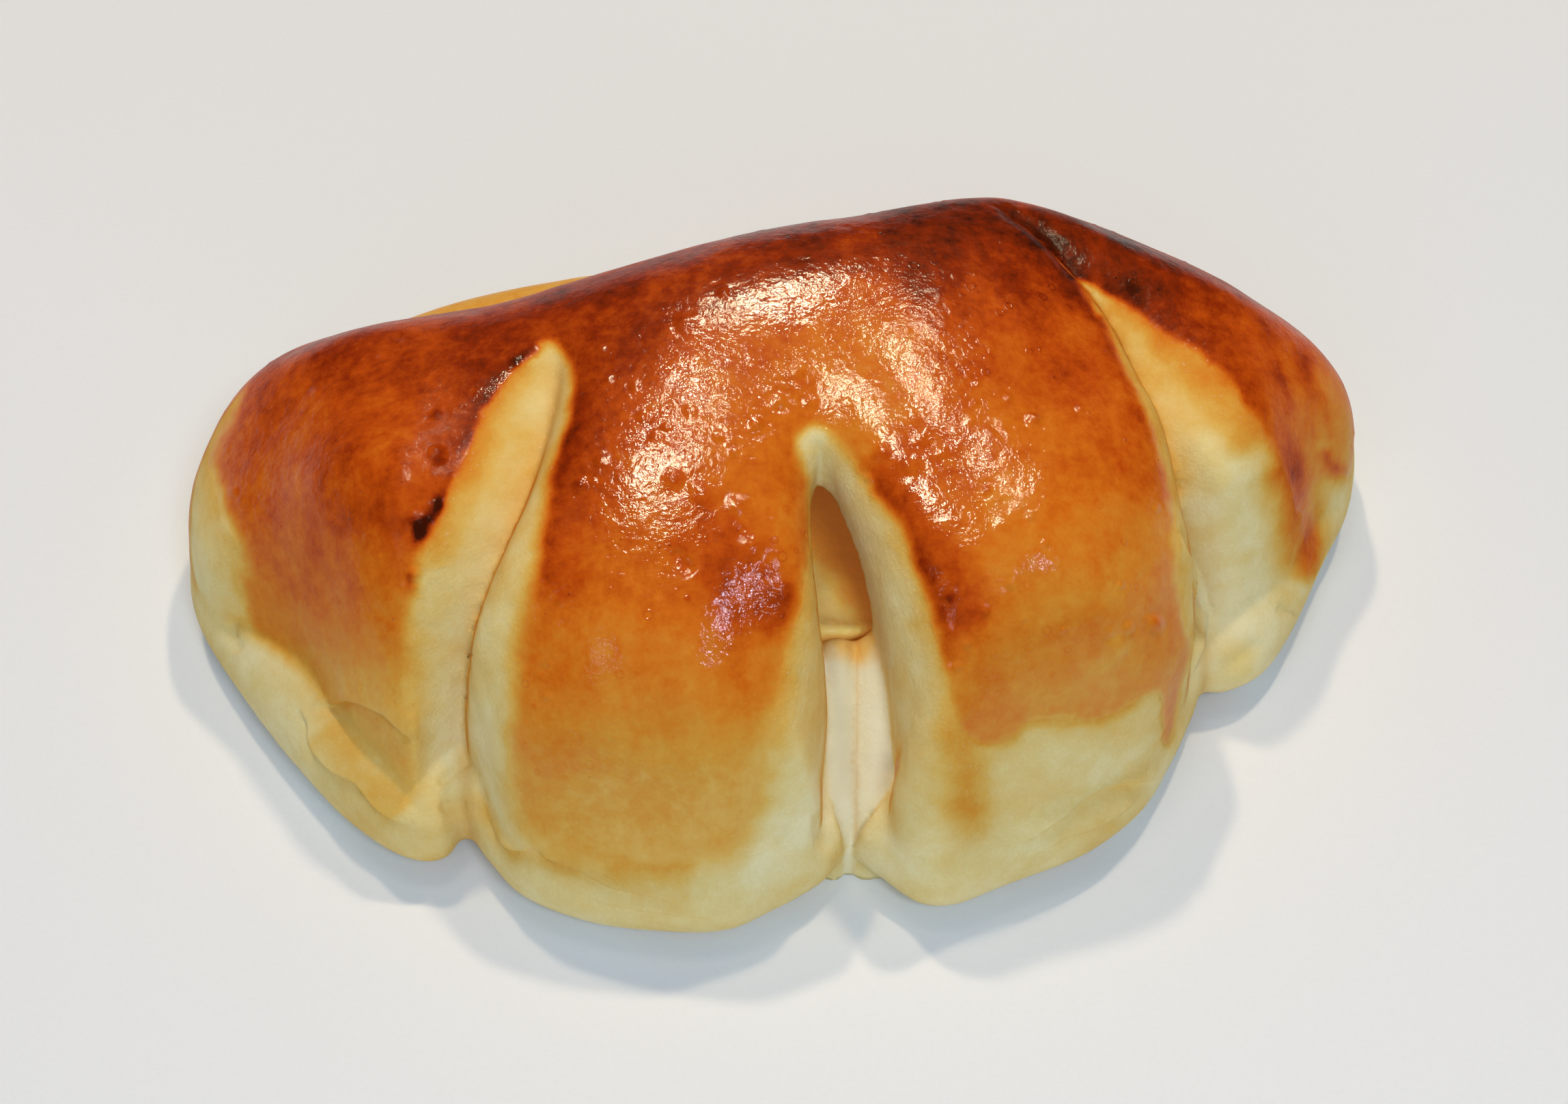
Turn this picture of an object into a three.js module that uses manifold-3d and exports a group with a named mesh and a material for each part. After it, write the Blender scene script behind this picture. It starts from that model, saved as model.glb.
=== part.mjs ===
// Cream bun: a flat oval of sweet dough folded over custard, its front cut three
// times into four blunt fingers and baked as one piece. Millimetres, +Z up.
// Two solids: the baked bread, and the custard that shows through the middle cut.
import * as THREE from "three";
import { mergeVertices } from "three/addons/utils/BufferGeometryUtils.js";
import Module from "manifold-3d";

const wasm = await Module();
wasm.setup();

// ---- Driving dimensions -------------------------------------------------
const TURN = THREE.MathUtils.degToRad(9); // from the drafting axes (u, v) below to the bun's own X and Y
const CENTRE_U = 0, CENTRE_V = -3, CENTRE_Z = 13; // point inside from which every wall is seen
const RINGS = 54, AROUND = 48; // facets along the bun and around it
const FOLD_EQUATOR_Z = 8.5; // height at which the folded-over upper sheet is widest
const FOLD_UNDER = 13; // how far down the upper sheet would curl under
const FOLD_POWER = 2.15; // roundness of the upper sheet's side
const RIM_WIDTH = 6.5; // rounding of the pale lower sheet's rim
const RIM_TOP_Z = 12, RIM_EQUATOR_Z = 4.6;
const SEAM_BLEND = 0.8, SEAM_BLEND_BACK = 5; // radius where the upper sheet meets the lower one
const RIM_BACK_LIFT = 2.5; // the lower sheet is this much thicker along the folded back
const HOLLOW = { u: 1.5, v: -11.5, z: 22, ru: 16.5, rv: 14, rz: 10.5 }; // pocket steamed open over the custard
const SLIT_FLOOR = [[-30, 6], [-22.5, 14], [-24.5, 20.4], [-27, 19.6], [-31, 16.8], [-35, 13.2], [-38.5, 8.8], [-41, 4.5], [-44, 1.5], [-60, 1.5]];
const CREASE_SOFTNESS = 0.16; // share of a groove's width that rounds its bottom
const CUSTARD_GAP = 0.35; // clearance between custard and bread
const CUSTARD_TOP_Z = 19.6;
const CUSTARD_SWELL = 1.6; // how much the custard rises towards its middle

// Plan outline of the bun, closed, in (u, v): left end, four fingers along the
// front, right end, then the folded back edge.
const OUTLINE = [
  [-68.3, 3.9], [-68.1, -2.8], [-66.2, -10], [-61.6, -17.6], [-54.6, -27.2], [-48.6, -34.4],
  [-42.4, -39.9], [-37.8, -41.9], [-34.9, -41.2], [-33.5, -39.3], [-31.2, -41.6], [-27, -45.8],
  [-20.1, -49], [-13, -50.2], [-5.8, -50.2], [-0.4, -47.4], [4.2, -44.2], [6.7, -41.4],
  [9.4, -43.2], [13.6, -46.5], [17.8, -46.9], [24, -44.3], [32.2, -40.6], [38.3, -35.5],
  [42.3, -28.8], [45.2, -23], [46.6, -20.4], [49.3, -19.9], [53.9, -16.6], [58, -9.6],
  [62.4, -0.6], [65.9, 6.3], [67.5, 13.3], [66.4, 21], [62, 29.5], [53, 37.5],
  [40, 43], [24, 45.2], [8, 44.8], [-8, 43], [-20, 40.8], [-31, 38.4],
  [-41, 35], [-51, 29.4], [-59.6, 21.8], [-65.8, 12.8],
];
// The cut between the first and second fingers, top end first.
const LEFT_CUT = [
  [-24.9, 0.8], [-23.5, -2.3], [-24.1, -8.3], [-25.4, -14.2], [-27.1, -19.5], [-29.1, -23.5],
  [-31.7, -28], [-32.9, -30.8], [-33.4, -33.7], [-33.3, -38], [-33.8, -44], [-34.5, -52],
];
// The cut between the third and fourth fingers, from the crest down.
const RIGHT_CUT = [
  [22.4, 20.8], [26.3, 17.5], [30.1, 13.2], [32.8, 10], [35.4, 6.2], [37.8, 0.9],
  [39.9, -4.3], [41.5, -9.5], [42.8, -12.8], [44.6, -15.2], [46, -17.2], [46.6, -20],
  [49.5, -24], [53, -30],
];
// The two lips of the middle cut, from its top end to past the front wall.
const SLIT_LEFT = [
  [3.4, -14.4], [2.6, -17.6], [2.6, -21], [2.9, -24.8], [3.6, -28.6], [4.3, -31.6],
  [4.5, -35.3], [5, -38.6], [6.3, -40.7], [6.7, -41.7],
];
const SLIT_RIGHT = [
  [5, -15.6], [6.7, -19.4], [8.4, -23.4], [9.6, -27], [10.5, -30.4], [11.1, -34.2],
  [11.2, -37.1], [9.7, -39], [7.3, -40.9], [6.9, -41.7],
];
// Crown heights on a square grid: one row per step in u, one value per step in v.
const CROWN_START = [-72, -56], CROWN_STEP = 8;
const CROWN = [
  [28.9, 28.9, 28.7, 28.4, 27.6, 26.5, 24.5, 24.6, 24.8, 24.7, 22.7, 20.7, 19.3, 18.4, 18],
  [28.9, 29, 29, 28.8, 27.9, 27.4, 26.4, 26.9, 27.8, 26.6, 22.8, 20, 18.7, 18, 17.7],
  [29, 29.1, 29.4, 29.9, 31.1, 31, 29.4, 29.7, 30.8, 29.1, 23.9, 18, 17.5, 17.1, 17],
  [28.9, 29, 29.4, 31.9, 34.3, 35.5, 34.1, 33.2, 32.5, 29.2, 23.2, 17, 16.1, 16.1, 16.1],
  [28.6, 28.8, 29.9, 32.9, 35.8, 37.4, 36.6, 35.5, 33.6, 28.6, 21.7, 15.5, 14, 15, 15.3],
  [28.1, 27.6, 30, 33.2, 36.1, 37.7, 37.5, 37.3, 35.4, 29.3, 21.4, 14.8, 14, 14.5, 14.7],
  [28.2, 28.1, 30.4, 33.8, 36.8, 38.7, 39.4, 39.4, 37.9, 32.3, 23.7, 15.9, 14, 14.3, 14.4],
  [28.5, 29.3, 32, 35.2, 38.4, 40.5, 41.4, 41.6, 40.4, 35.7, 27.6, 19.4, 14, 14.1, 14.3],
  [28.1, 30, 32.5, 35.6, 38.7, 41.1, 42.5, 43.1, 42.2, 38.6, 31.7, 23.7, 16.5, 14, 14.3],
  [29.5, 29.9, 31.7, 34.6, 37.8, 40.9, 42.9, 43.6, 43.2, 40.5, 34.6, 27.3, 19.9, 14, 14.6],
  [30.4, 30.1, 31.9, 34.9, 37.9, 40.9, 42.8, 43.6, 43.5, 41.5, 36.3, 29.3, 22.4, 15.5, 15.4],
  [31.5, 31.2, 32.9, 36, 38.8, 41, 42.2, 42.8, 43, 42, 38.1, 31.5, 24.4, 17, 16.2],
  [33, 33, 34.8, 37.1, 38.9, 40, 40.5, 41.1, 41.4, 41.2, 38.7, 32.2, 24.6, 16.9, 16.2],
  [34.6, 35, 36.2, 37.6, 38.4, 38.3, 38.2, 38.5, 38.7, 38.7, 36.1, 29.2, 21.9, 15.2, 15.4],
  [35.7, 36.1, 37.2, 38, 38.2, 37.7, 36.9, 36.2, 36.1, 35.9, 32.4, 24.8, 18.4, 14, 14.9],
  [36.4, 36.7, 37.3, 37.9, 38.7, 38.2, 37.1, 34.5, 33.2, 32.8, 28.6, 21.5, 15.8, 15.1, 15.2],
  [36.8, 37, 37.3, 37.7, 38.2, 38.7, 37.5, 34.2, 31.3, 30, 25.8, 19.8, 14.4, 15.4, 15.6],
  [37, 37.1, 37.3, 37.5, 37.6, 37.4, 36.7, 33.9, 31.1, 28.5, 24.4, 19, 17, 16.4, 16.2],
  [37, 37.1, 37.2, 37.3, 37.2, 36.7, 35.6, 33.3, 30.4, 27.2, 24, 20.4, 18.2, 17.1, 16.7],
];

// ---- Small curve and field helpers --------------------------------------
const clamp = (x, a, b) => Math.min(b, Math.max(a, x));
const smooth = (a, b, x) => {
  const t = clamp((x - a) / (b - a), 0, 1);
  return t * t * (3 - 2 * t);
};
const table = (x, xs, ys) => {
  if (x <= xs[0]) return ys[0];
  for (let i = 1; i < xs.length; i++)
    if (x <= xs[i]) return ys[i - 1] + ((ys[i] - ys[i - 1]) * (x - xs[i - 1])) / (xs[i] - xs[i - 1]);
  return ys[ys.length - 1];
};
const softMin = (a, b, k) => {
  const h = clamp(0.5 + (0.5 * (b - a)) / k, 0, 1);
  return b * (1 - h) + a * h - k * h * (1 - h);
};

function spline(points, closed, steps) {
  const curve = [];
  const n = points.length;
  const at = (i) => (closed ? points[(i + n) % n] : points[clamp(i, 0, n - 1)]);
  for (let i = 0; i < (closed ? n : n - 1); i++)
    for (let k = 0; k < steps; k++) {
      const t = k / steps;
      curve.push([0, 1].map((c) => {
        const [a, b, d, e] = [at(i - 1)[c], at(i)[c], at(i + 1)[c], at(i + 2)[c]];
        return 0.5 * (2 * b + (d - a) * t + (2 * a - 5 * b + 4 * d - e) * t * t + (3 * b - a - 3 * d + e) * t ** 3);
      }));
    }
  if (!closed) curve.push(points[n - 1]);
  return curve;
}

// Distance from (u, v) to a polyline, the side it lies on and how far along.
function along(u, v, line, closed) {
  let best = Infinity, side = 1, at = 0, run = 0, total = 0;
  const n = line.length, m = closed ? n : n - 1;
  for (let i = 0; i < m; i++) {
    const [a, b] = line[i], [c, d] = line[(i + 1) % n];
    total += Math.hypot(c - a, d - b);
  }
  for (let i = 0; i < m; i++) {
    const [a, b] = line[i], [c, d] = line[(i + 1) % n];
    const du = c - a, dv = d - b, l2 = du * du + dv * dv, l = Math.sqrt(l2);
    if (l2 < 1e-12) continue;
    const t = clamp(((u - a) * du + (v - b) * dv) / l2, 0, 1);
    const r = Math.hypot(u - a - t * du, v - b - t * dv);
    if (r < best) {
      best = r;
      side = Math.sign(du * (v - b) - dv * (u - a));
      at = (run + t * l) / total;
    }
    run += l;
  }
  return { r: best, side, at };
}
function within(u, v, line) {
  let c = false;
  for (let i = 0, j = line.length - 1; i < line.length; j = i++) {
    const [a, b] = line[i], [d, e] = line[j];
    if (b > v !== e > v && u < ((d - a) * (v - b)) / (e - b) + a) c = !c;
  }
  return c;
}

const outline = spline(OUTLINE, true, 6);
const leftCut = spline(LEFT_CUT, false, 4);
const rightCut = spline(RIGHT_CUT, false, 4);
const slitLeft = spline(SLIT_LEFT, false, 4);
const slitRight = spline(SLIT_RIGHT, false, 4);
const slitEdge = [...slitLeft, ...slitRight.slice().reverse()];

function crown(u, v) {
  const gu = clamp((u - CROWN_START[0]) / CROWN_STEP, 0, CROWN.length - 1.001);
  const gv = clamp((v - CROWN_START[1]) / CROWN_STEP, 0, CROWN[0].length - 1.001);
  const i = Math.floor(gu), j = Math.floor(gv);
  const w = (t) => [-0.5 * t + t * t - 0.5 * t ** 3, 1 - 2.5 * t * t + 1.5 * t ** 3, 0.5 * t + 2 * t * t - 1.5 * t ** 3, -0.5 * t * t + 0.5 * t ** 3];
  const wu = w(gu - i), wv = w(gv - j);
  let z = 0;
  for (let a = 0; a < 4; a++)
    for (let b = 0; b < 4; b++)
      z += wu[a] * wv[b] * CROWN[clamp(i + a - 1, 0, CROWN.length - 1)][clamp(j + b - 1, 0, CROWN[0].length - 1)];
  return z;
}

// How far the upper sheet's edge stands back from the outline of the lower one.
function setBack(u, v) {
  const hump = (h, cu, ru, cv, rv) => h * Math.exp(-((((u - cu) / ru) ** 2 + ((v - cv) / rv) ** 2) ** 2));
  return 0.7 + hump(5, -54, 14, -30, 17) + hump(2, -15, 17, -50, 10) + hump(2.6, 30, 14, -42, 11) + hump(1.6, 58, 9, -8, 14) +
    6.5 * smooth(-62, -44, u) * smooth(26, -6, u) * smooth(2, 24, v) + 2.5 * smooth(-6, 26, u) * smooth(5, 30, v);
}

// A groove's depth at distance r: full at the crease, nothing at its width.
const groove = (depth, r, width, power) => {
  const q = clamp(Math.hypot(r / width, CREASE_SOFTNESS), 0, 1);
  return depth * (1 - (1 - (1 - q) ** power) ** (1 / power));
};

// Signed distance, roughly in millimetres and negative inside, of the bun with
// its creases but before the middle cut is opened.
function bunField(u, v, z) {
  const inside = within(u, v, outline);
  const d = along(u, v, outline, true).r * (inside ? 1 : -1);
  const sheet = (edge, width, equator, top, under, power) => {
    const s = Math.max(1e-3, 1 - edge / width);
    const rise = z >= equator ? top - equator : under;
    const t = Math.max(1e-3, Math.abs(z - equator) / rise);
    const r = (s ** power + t ** power) ** (1 / power);
    const slope = Math.hypot((s / r) ** (power - 1) / width, (t / r) ** (power - 1) / rise);
    return (r - 1) / slope;
  };
  const width = 19 + 8 * smooth(5, 34, v) + 3 * smooth(-20, -60, u);
  const upper = sheet(d - setBack(u, v), width, FOLD_EQUATOR_Z, crown(u, v), FOLD_UNDER, FOLD_POWER);
  const back = smooth(6, 26, v);
  const lower = sheet(d, RIM_WIDTH, RIM_EQUATOR_Z, RIM_TOP_Z + RIM_BACK_LIFT * back, RIM_EQUATOR_Z, 2);
  const a = along(u, v, leftCut, false);
  const left = groove(
    table(a.at, [0, 0.08, 0.25, 0.5, 0.75, 1], [0, 2.6, 5, 7, 8.5, 9]), a.r,
    a.side < 0 ? table(a.at, [0, 0.1, 0.3, 0.6, 1], [4, 8, 12, 13, 11]) : table(a.at, [0, 0.2, 1], [4, 6, 7.5]),
    a.side < 0 ? 1.35 : 2.2);
  const b = along(u, v, rightCut, false);
  const right = groove(
    table(b.at, [0, 0.1, 0.22, 0.4, 0.6, 0.8, 1], [0, 1.3, 2.2, 4.8, 7.2, 8.8, 9]), b.r,
    b.side > 0 ? table(b.at, [0, 0.15, 0.3, 0.5, 0.7, 1], [6, 7, 10, 13, 14, 12]) : table(b.at, [0, 0.2, 0.4, 1], [3, 3.5, 5.5, 7]),
    b.side > 0 ? 1.3 : 2.2);
  const c = along(u, v, slitEdge, true);
  const lip = within(u, v, slitEdge) ? 0 : c.r;
  const q = clamp(lip / (u > table(-v, [15, 45], [5, 7]) ? 6 : 4.5), 0, 1);
  const lips = table(-v, [8, 14, 18, 24, 34, 44], [0, 1, 4, 6, 7.5, 8]) * (1 - (1 - (1 - q) ** 2.1) ** (1 / 2.1)) +
    1.3 * Math.exp(-(((u - table(-v, [4, 10, 18], [3, 3.2, 3.4])) / 5) ** 2)) * smooth(0, -14, v) * smooth(-30, -16, v);
  return softMin(upper + left + right + lips, lower + 0.12 * (left + right), SEAM_BLEND + (SEAM_BLEND_BACK - SEAM_BLEND) * back);
}

// ---- Solids --------------------------------------------------------------
function solid(geometry) {
  geometry.deleteAttribute("normal");
  geometry.deleteAttribute("uv");
  const merged = mergeVertices(geometry, 1e-4);
  return new wasm.Manifold(new wasm.Mesh({
    numProp: 3,
    vertProperties: merged.attributes.position.array,
    triVerts: new Uint32Array(merged.index.array),
  }));
}
function geometryOf(manifold) {
  const mesh = manifold.getMesh();
  const geometry = new THREE.BufferGeometry();
  geometry.setAttribute("position", new THREE.BufferAttribute(new Float32Array(mesh.vertProperties), 3));
  geometry.setIndex(new THREE.BufferAttribute(new Uint32Array(mesh.triVerts), 1));
  geometry.computeVertexNormals();
  return geometry;
}
const reshape = (geometry, map) => {
  const p = geometry.attributes.position;
  for (let i = 0; i < p.count; i++) p.setXYZ(i, ...map(p.getX(i), p.getY(i), p.getZ(i)));
  return geometry;
};

// A sphere with its poles at the bun's two ends, each vertex moved out along its
// own direction until it meets the skin or the flat underside.
function bunBody() {
  const ball = new THREE.SphereGeometry(1, AROUND, RINGS);
  ball.rotateZ(Math.PI / 2);
  return reshape(ball, (x, y, z) => {
    const dir = new THREE.Vector3(x * 62, y * 42, z * 26).normalize();
    let lo = 0, hi = 0;
    for (let r = 84; r > 0; r -= 3) {
      const f = bunField(CENTRE_U + dir.x * r, CENTRE_V + dir.y * r, CENTRE_Z + dir.z * r);
      if (f < 0 && CENTRE_Z + dir.z * r > 0) { lo = r; hi = r + 3; break; }
    }
    for (let k = 0; k < 15; k++) {
      const mid = (lo + hi) / 2;
      const zz = CENTRE_Z + dir.z * mid;
      if (bunField(CENTRE_U + dir.x * mid, CENTRE_V + dir.y * mid, zz) < 0 && zz > 0) lo = mid; else hi = mid;
    }
    const at = CENTRE_Z + dir.z * lo;
    return [CENTRE_U + dir.x * lo, CENTRE_V + dir.y * lo, at < 0.01 ? 0 : at];
  });
}

// The open middle cut: a box bent to the two lips, standing on the slit's floor.
function slitCutter() {
  const steps = 22;
  const box = new THREE.BoxGeometry(1, 1, 1, 4, steps, 1);
  const vTop = -17.2, vEnd = -58;
  const floorV = SLIT_FLOOR.map((p) => -p[0]).slice(1), floorZ = SLIT_FLOOR.map((p) => p[1]).slice(1);
  const edge = (line, v) => table(-v, line.map((p) => -p[1]), line.map((p) => p[0]));
  return reshape(box, (x, y, z) => {
    const v = vTop + (vEnd - vTop) * (0.5 - y) ** 1.25;
    const a = edge(slitLeft, v), b = edge(slitRight, v);
    const u = a + (b - a) * (x + 0.5);
    const strand = 1.2 * Math.abs(Math.sin(Math.PI * 2 * x)) * smooth(-22, -26, v) * smooth(-42, -38, v);
    return [u, v, z > 0 ? 62 : table(-v, floorV, floorZ) + strand];
  });
}
const ellipsoid = (shrink, across, up) =>
  reshape(new THREE.SphereGeometry(1, across, up), (x, y, z) => [
    HOLLOW.u + x * (HOLLOW.ru - shrink),
    HOLLOW.v + y * (HOLLOW.rv - shrink),
    HOLLOW.z + z * (HOLLOW.rz - shrink),
  ]);

const bread = solid(bunBody())
  .subtract(solid(slitCutter()))
  .subtract(solid(ellipsoid(0, 24, 14)));

// Custard fills the pocket up to a gently swelling surface.
const aboveCustard = reshape(new THREE.BoxGeometry(1, 1, 1, 10, 10, 1), (x, y, z) => {
  const u = HOLLOW.u + x * 44, v = HOLLOW.v + y * 40;
  const swell = CUSTARD_SWELL * Math.exp(-((x * 2.6) ** 2) - (y * 2.6) ** 2);
  return [u, v, z > 0 ? 70 : CUSTARD_TOP_Z + swell];
});
const custard = solid(ellipsoid(CUSTARD_GAP, 24, 14)).subtract(solid(aboveCustard));

// ---- Scene graph ---------------------------------------------------------
const breadMesh = new THREE.Mesh(
  geometryOf(bread),
  new THREE.MeshStandardMaterial({ color: 0xb96a22, roughness: 0.38, metalness: 0 }),
);
breadMesh.name = "bun_bread";
const custardMesh = new THREE.Mesh(
  geometryOf(custard),
  new THREE.MeshStandardMaterial({ color: 0xe6b84a, roughness: 0.35, metalness: 0 }),
);
custardMesh.name = "custard_cream";

const bun = new THREE.Group();
bun.name = "cream_bun";
bun.add(breadMesh, custardMesh);
// Turn the drafting axes to the bun's own length, then stand its box on the origin.
bun.rotation.z = -TURN;
bun.updateMatrixWorld(true);
const box = new THREE.Box3().setFromObject(breadMesh, true);
bun.position.set(-(box.min.x + box.max.x) / 2, -(box.min.y + box.max.y) / 2, -box.min.z);

export default bun;
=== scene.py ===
"""Looks of the baked cream bun: a split, egg-washed crescent of bread with custard in its hollow.
Drafting axes, in millimetres: u to the right of the main view, v away from it, z up."""

import math

import bpy
import numpy as np
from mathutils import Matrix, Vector


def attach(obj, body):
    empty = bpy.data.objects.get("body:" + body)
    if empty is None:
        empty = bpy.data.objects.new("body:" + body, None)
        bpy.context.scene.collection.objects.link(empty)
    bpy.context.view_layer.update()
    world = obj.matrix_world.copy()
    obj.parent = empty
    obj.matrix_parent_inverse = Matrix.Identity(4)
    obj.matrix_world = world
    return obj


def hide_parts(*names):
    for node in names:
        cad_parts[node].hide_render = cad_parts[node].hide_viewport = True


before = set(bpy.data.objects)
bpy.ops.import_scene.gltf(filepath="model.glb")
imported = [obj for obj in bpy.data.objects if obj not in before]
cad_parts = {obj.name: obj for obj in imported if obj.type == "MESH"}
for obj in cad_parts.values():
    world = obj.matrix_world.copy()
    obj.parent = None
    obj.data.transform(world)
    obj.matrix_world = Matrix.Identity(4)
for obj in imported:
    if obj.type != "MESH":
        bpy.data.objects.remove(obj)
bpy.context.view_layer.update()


scene = bpy.context.scene

# ------------------------------------------------------------------ tables
TURN = math.radians(9)  # drafting axes to object axes
SHIFT = (-0.7431, 2.6115)
OUTLINE = [
    (-68.3, 3.9), (-68.1, -2.8), (-66.2, -10), (-61.6, -17.6), (-54.6, -27.2), (-48.6, -34.4), (-42.4, -39.9), (-37.8, -41.9),
    (-34.9, -41.2), (-33.5, -39.3), (-31.2, -41.6), (-27, -45.8), (-20.1, -49), (-13, -50.2), (-5.8, -50.2), (-0.4, -47.4),
    (4.2, -44.2), (6.7, -41.4), (9.4, -43.2), (13.6, -46.5), (17.8, -46.9), (24, -44.3), (32.2, -40.6), (38.3, -35.5),
    (42.3, -28.8), (45.2, -23), (46.6, -20.4), (49.3, -19.9), (53.9, -16.6), (58, -9.6), (62.4, -0.6), (65.9, 6.3),
    (67.5, 13.3), (66.4, 21), (62, 29.5), (53, 37.5), (40, 43), (24, 45.2), (8, 44.8), (-8, 43),
    (-20, 40.8), (-31, 38.4), (-41, 35), (-51, 29.4), (-59.6, 21.8), (-65.8, 12.8),
]
LEFT_CUT = [
    (-24.9, 0.8), (-23.5, -2.3), (-24.1, -8.3), (-25.4, -14.2), (-27.1, -19.5), (-29.1, -23.5), (-31.7, -28), (-32.9, -30.8),
    (-33.4, -33.7), (-33.3, -38), (-33.8, -44), (-34.5, -52),
]
RIGHT_CUT = [
    (22.4, 20.8), (26.3, 17.5), (30.1, 13.2), (32.8, 10), (35.4, 6.2), (37.8, 0.9), (39.9, -4.3), (41.5, -9.5),
    (42.8, -12.8), (44.6, -15.2), (46, -17.2), (46.6, -20), (49.5, -24), (53, -30),
]
SLIT_L = [
    (3.4, -14.4), (2.6, -17.6), (2.6, -21), (2.9, -24.8), (3.6, -28.6), (4.3, -31.6), (4.5, -35.3), (5, -38.6),
    (6.3, -40.7), (6.7, -41.7),
]
SLIT_R = [
    (5, -15.6), (6.7, -19.4), (8.4, -23.4), (9.6, -27), (10.5, -30.4), (11.1, -34.2), (11.2, -37.1), (9.7, -39),
    (7.3, -40.9), (6.9, -41.7),
]
CROWN_AT, CROWN_STEP = (-72.0, -56.0), 8.0
CROWN = [
    [28.9, 28.9, 28.7, 28.4, 27.6, 26.5, 24.5, 24.6, 24.8, 24.7, 22.7, 20.7, 19.3, 18.4, 18],
    [28.9, 29, 29, 28.8, 27.9, 27.4, 26.4, 26.9, 27.8, 26.6, 22.8, 20, 18.7, 18, 17.7],
    [29, 29.1, 29.4, 29.9, 31.1, 31, 29.4, 29.7, 30.8, 29.1, 23.9, 18, 17.5, 17.1, 17],
    [28.9, 29, 29.4, 31.9, 34.3, 35.5, 34.1, 33.2, 32.5, 29.2, 23.2, 17, 16.1, 16.1, 16.1],
    [28.6, 28.8, 29.9, 32.9, 35.8, 37.4, 36.6, 35.5, 33.6, 28.6, 21.7, 15.5, 14, 15, 15.3],
    [28.1, 27.6, 30, 33.2, 36.1, 37.7, 37.5, 37.3, 35.4, 29.3, 21.4, 14.8, 14, 14.5, 14.7],
    [28.2, 28.1, 30.4, 33.8, 36.8, 38.7, 39.4, 39.4, 37.9, 32.3, 23.7, 15.9, 14, 14.3, 14.4],
    [28.5, 29.3, 32, 35.2, 38.4, 40.5, 41.4, 41.6, 40.4, 35.7, 27.6, 19.4, 14, 14.1, 14.3],
    [28.1, 30, 32.5, 35.6, 38.7, 41.1, 42.5, 43.1, 42.2, 38.6, 31.7, 23.7, 16.5, 14, 14.3],
    [29.5, 29.9, 31.7, 34.6, 37.8, 40.9, 42.9, 43.6, 43.2, 40.5, 34.6, 27.3, 19.9, 14, 14.6],
    [30.4, 30.1, 31.9, 34.9, 37.9, 40.9, 42.8, 43.6, 43.5, 41.5, 36.3, 29.3, 22.4, 15.5, 15.4],
    [31.5, 31.2, 32.9, 36, 38.8, 41, 42.2, 42.8, 43, 42, 38.1, 31.5, 24.4, 17, 16.2],
    [33, 33, 34.8, 37.1, 38.9, 40, 40.5, 41.1, 41.4, 41.2, 38.7, 32.2, 24.6, 16.9, 16.2],
    [34.6, 35, 36.2, 37.6, 38.4, 38.3, 38.2, 38.5, 38.7, 38.7, 36.1, 29.2, 21.9, 15.2, 15.4],
    [35.7, 36.1, 37.2, 38, 38.2, 37.7, 36.9, 36.2, 36.1, 35.9, 32.4, 24.8, 18.4, 14, 14.9],
    [36.4, 36.7, 37.3, 37.9, 38.7, 38.2, 37.1, 34.5, 33.2, 32.8, 28.6, 21.5, 15.8, 15.1, 15.2],
    [36.8, 37, 37.3, 37.7, 38.2, 38.7, 37.5, 34.2, 31.3, 30, 25.8, 19.8, 14.4, 15.4, 15.6],
    [37, 37.1, 37.3, 37.5, 37.6, 37.4, 36.7, 33.9, 31.1, 28.5, 24.4, 19, 17, 16.4, 16.2],
    [37, 37.1, 37.2, 37.3, 37.2, 36.7, 35.6, 33.3, 30.4, 27.2, 24, 20.4, 18.2, 17.1, 16.7],
]
EYE = np.array([0.0, -193.69, 235.69])
AIM = np.array([0.0, -6.0, 12.0])
FAR = 292.0
STEP_MM = 0.65  # lattice of the bread's skin

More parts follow.
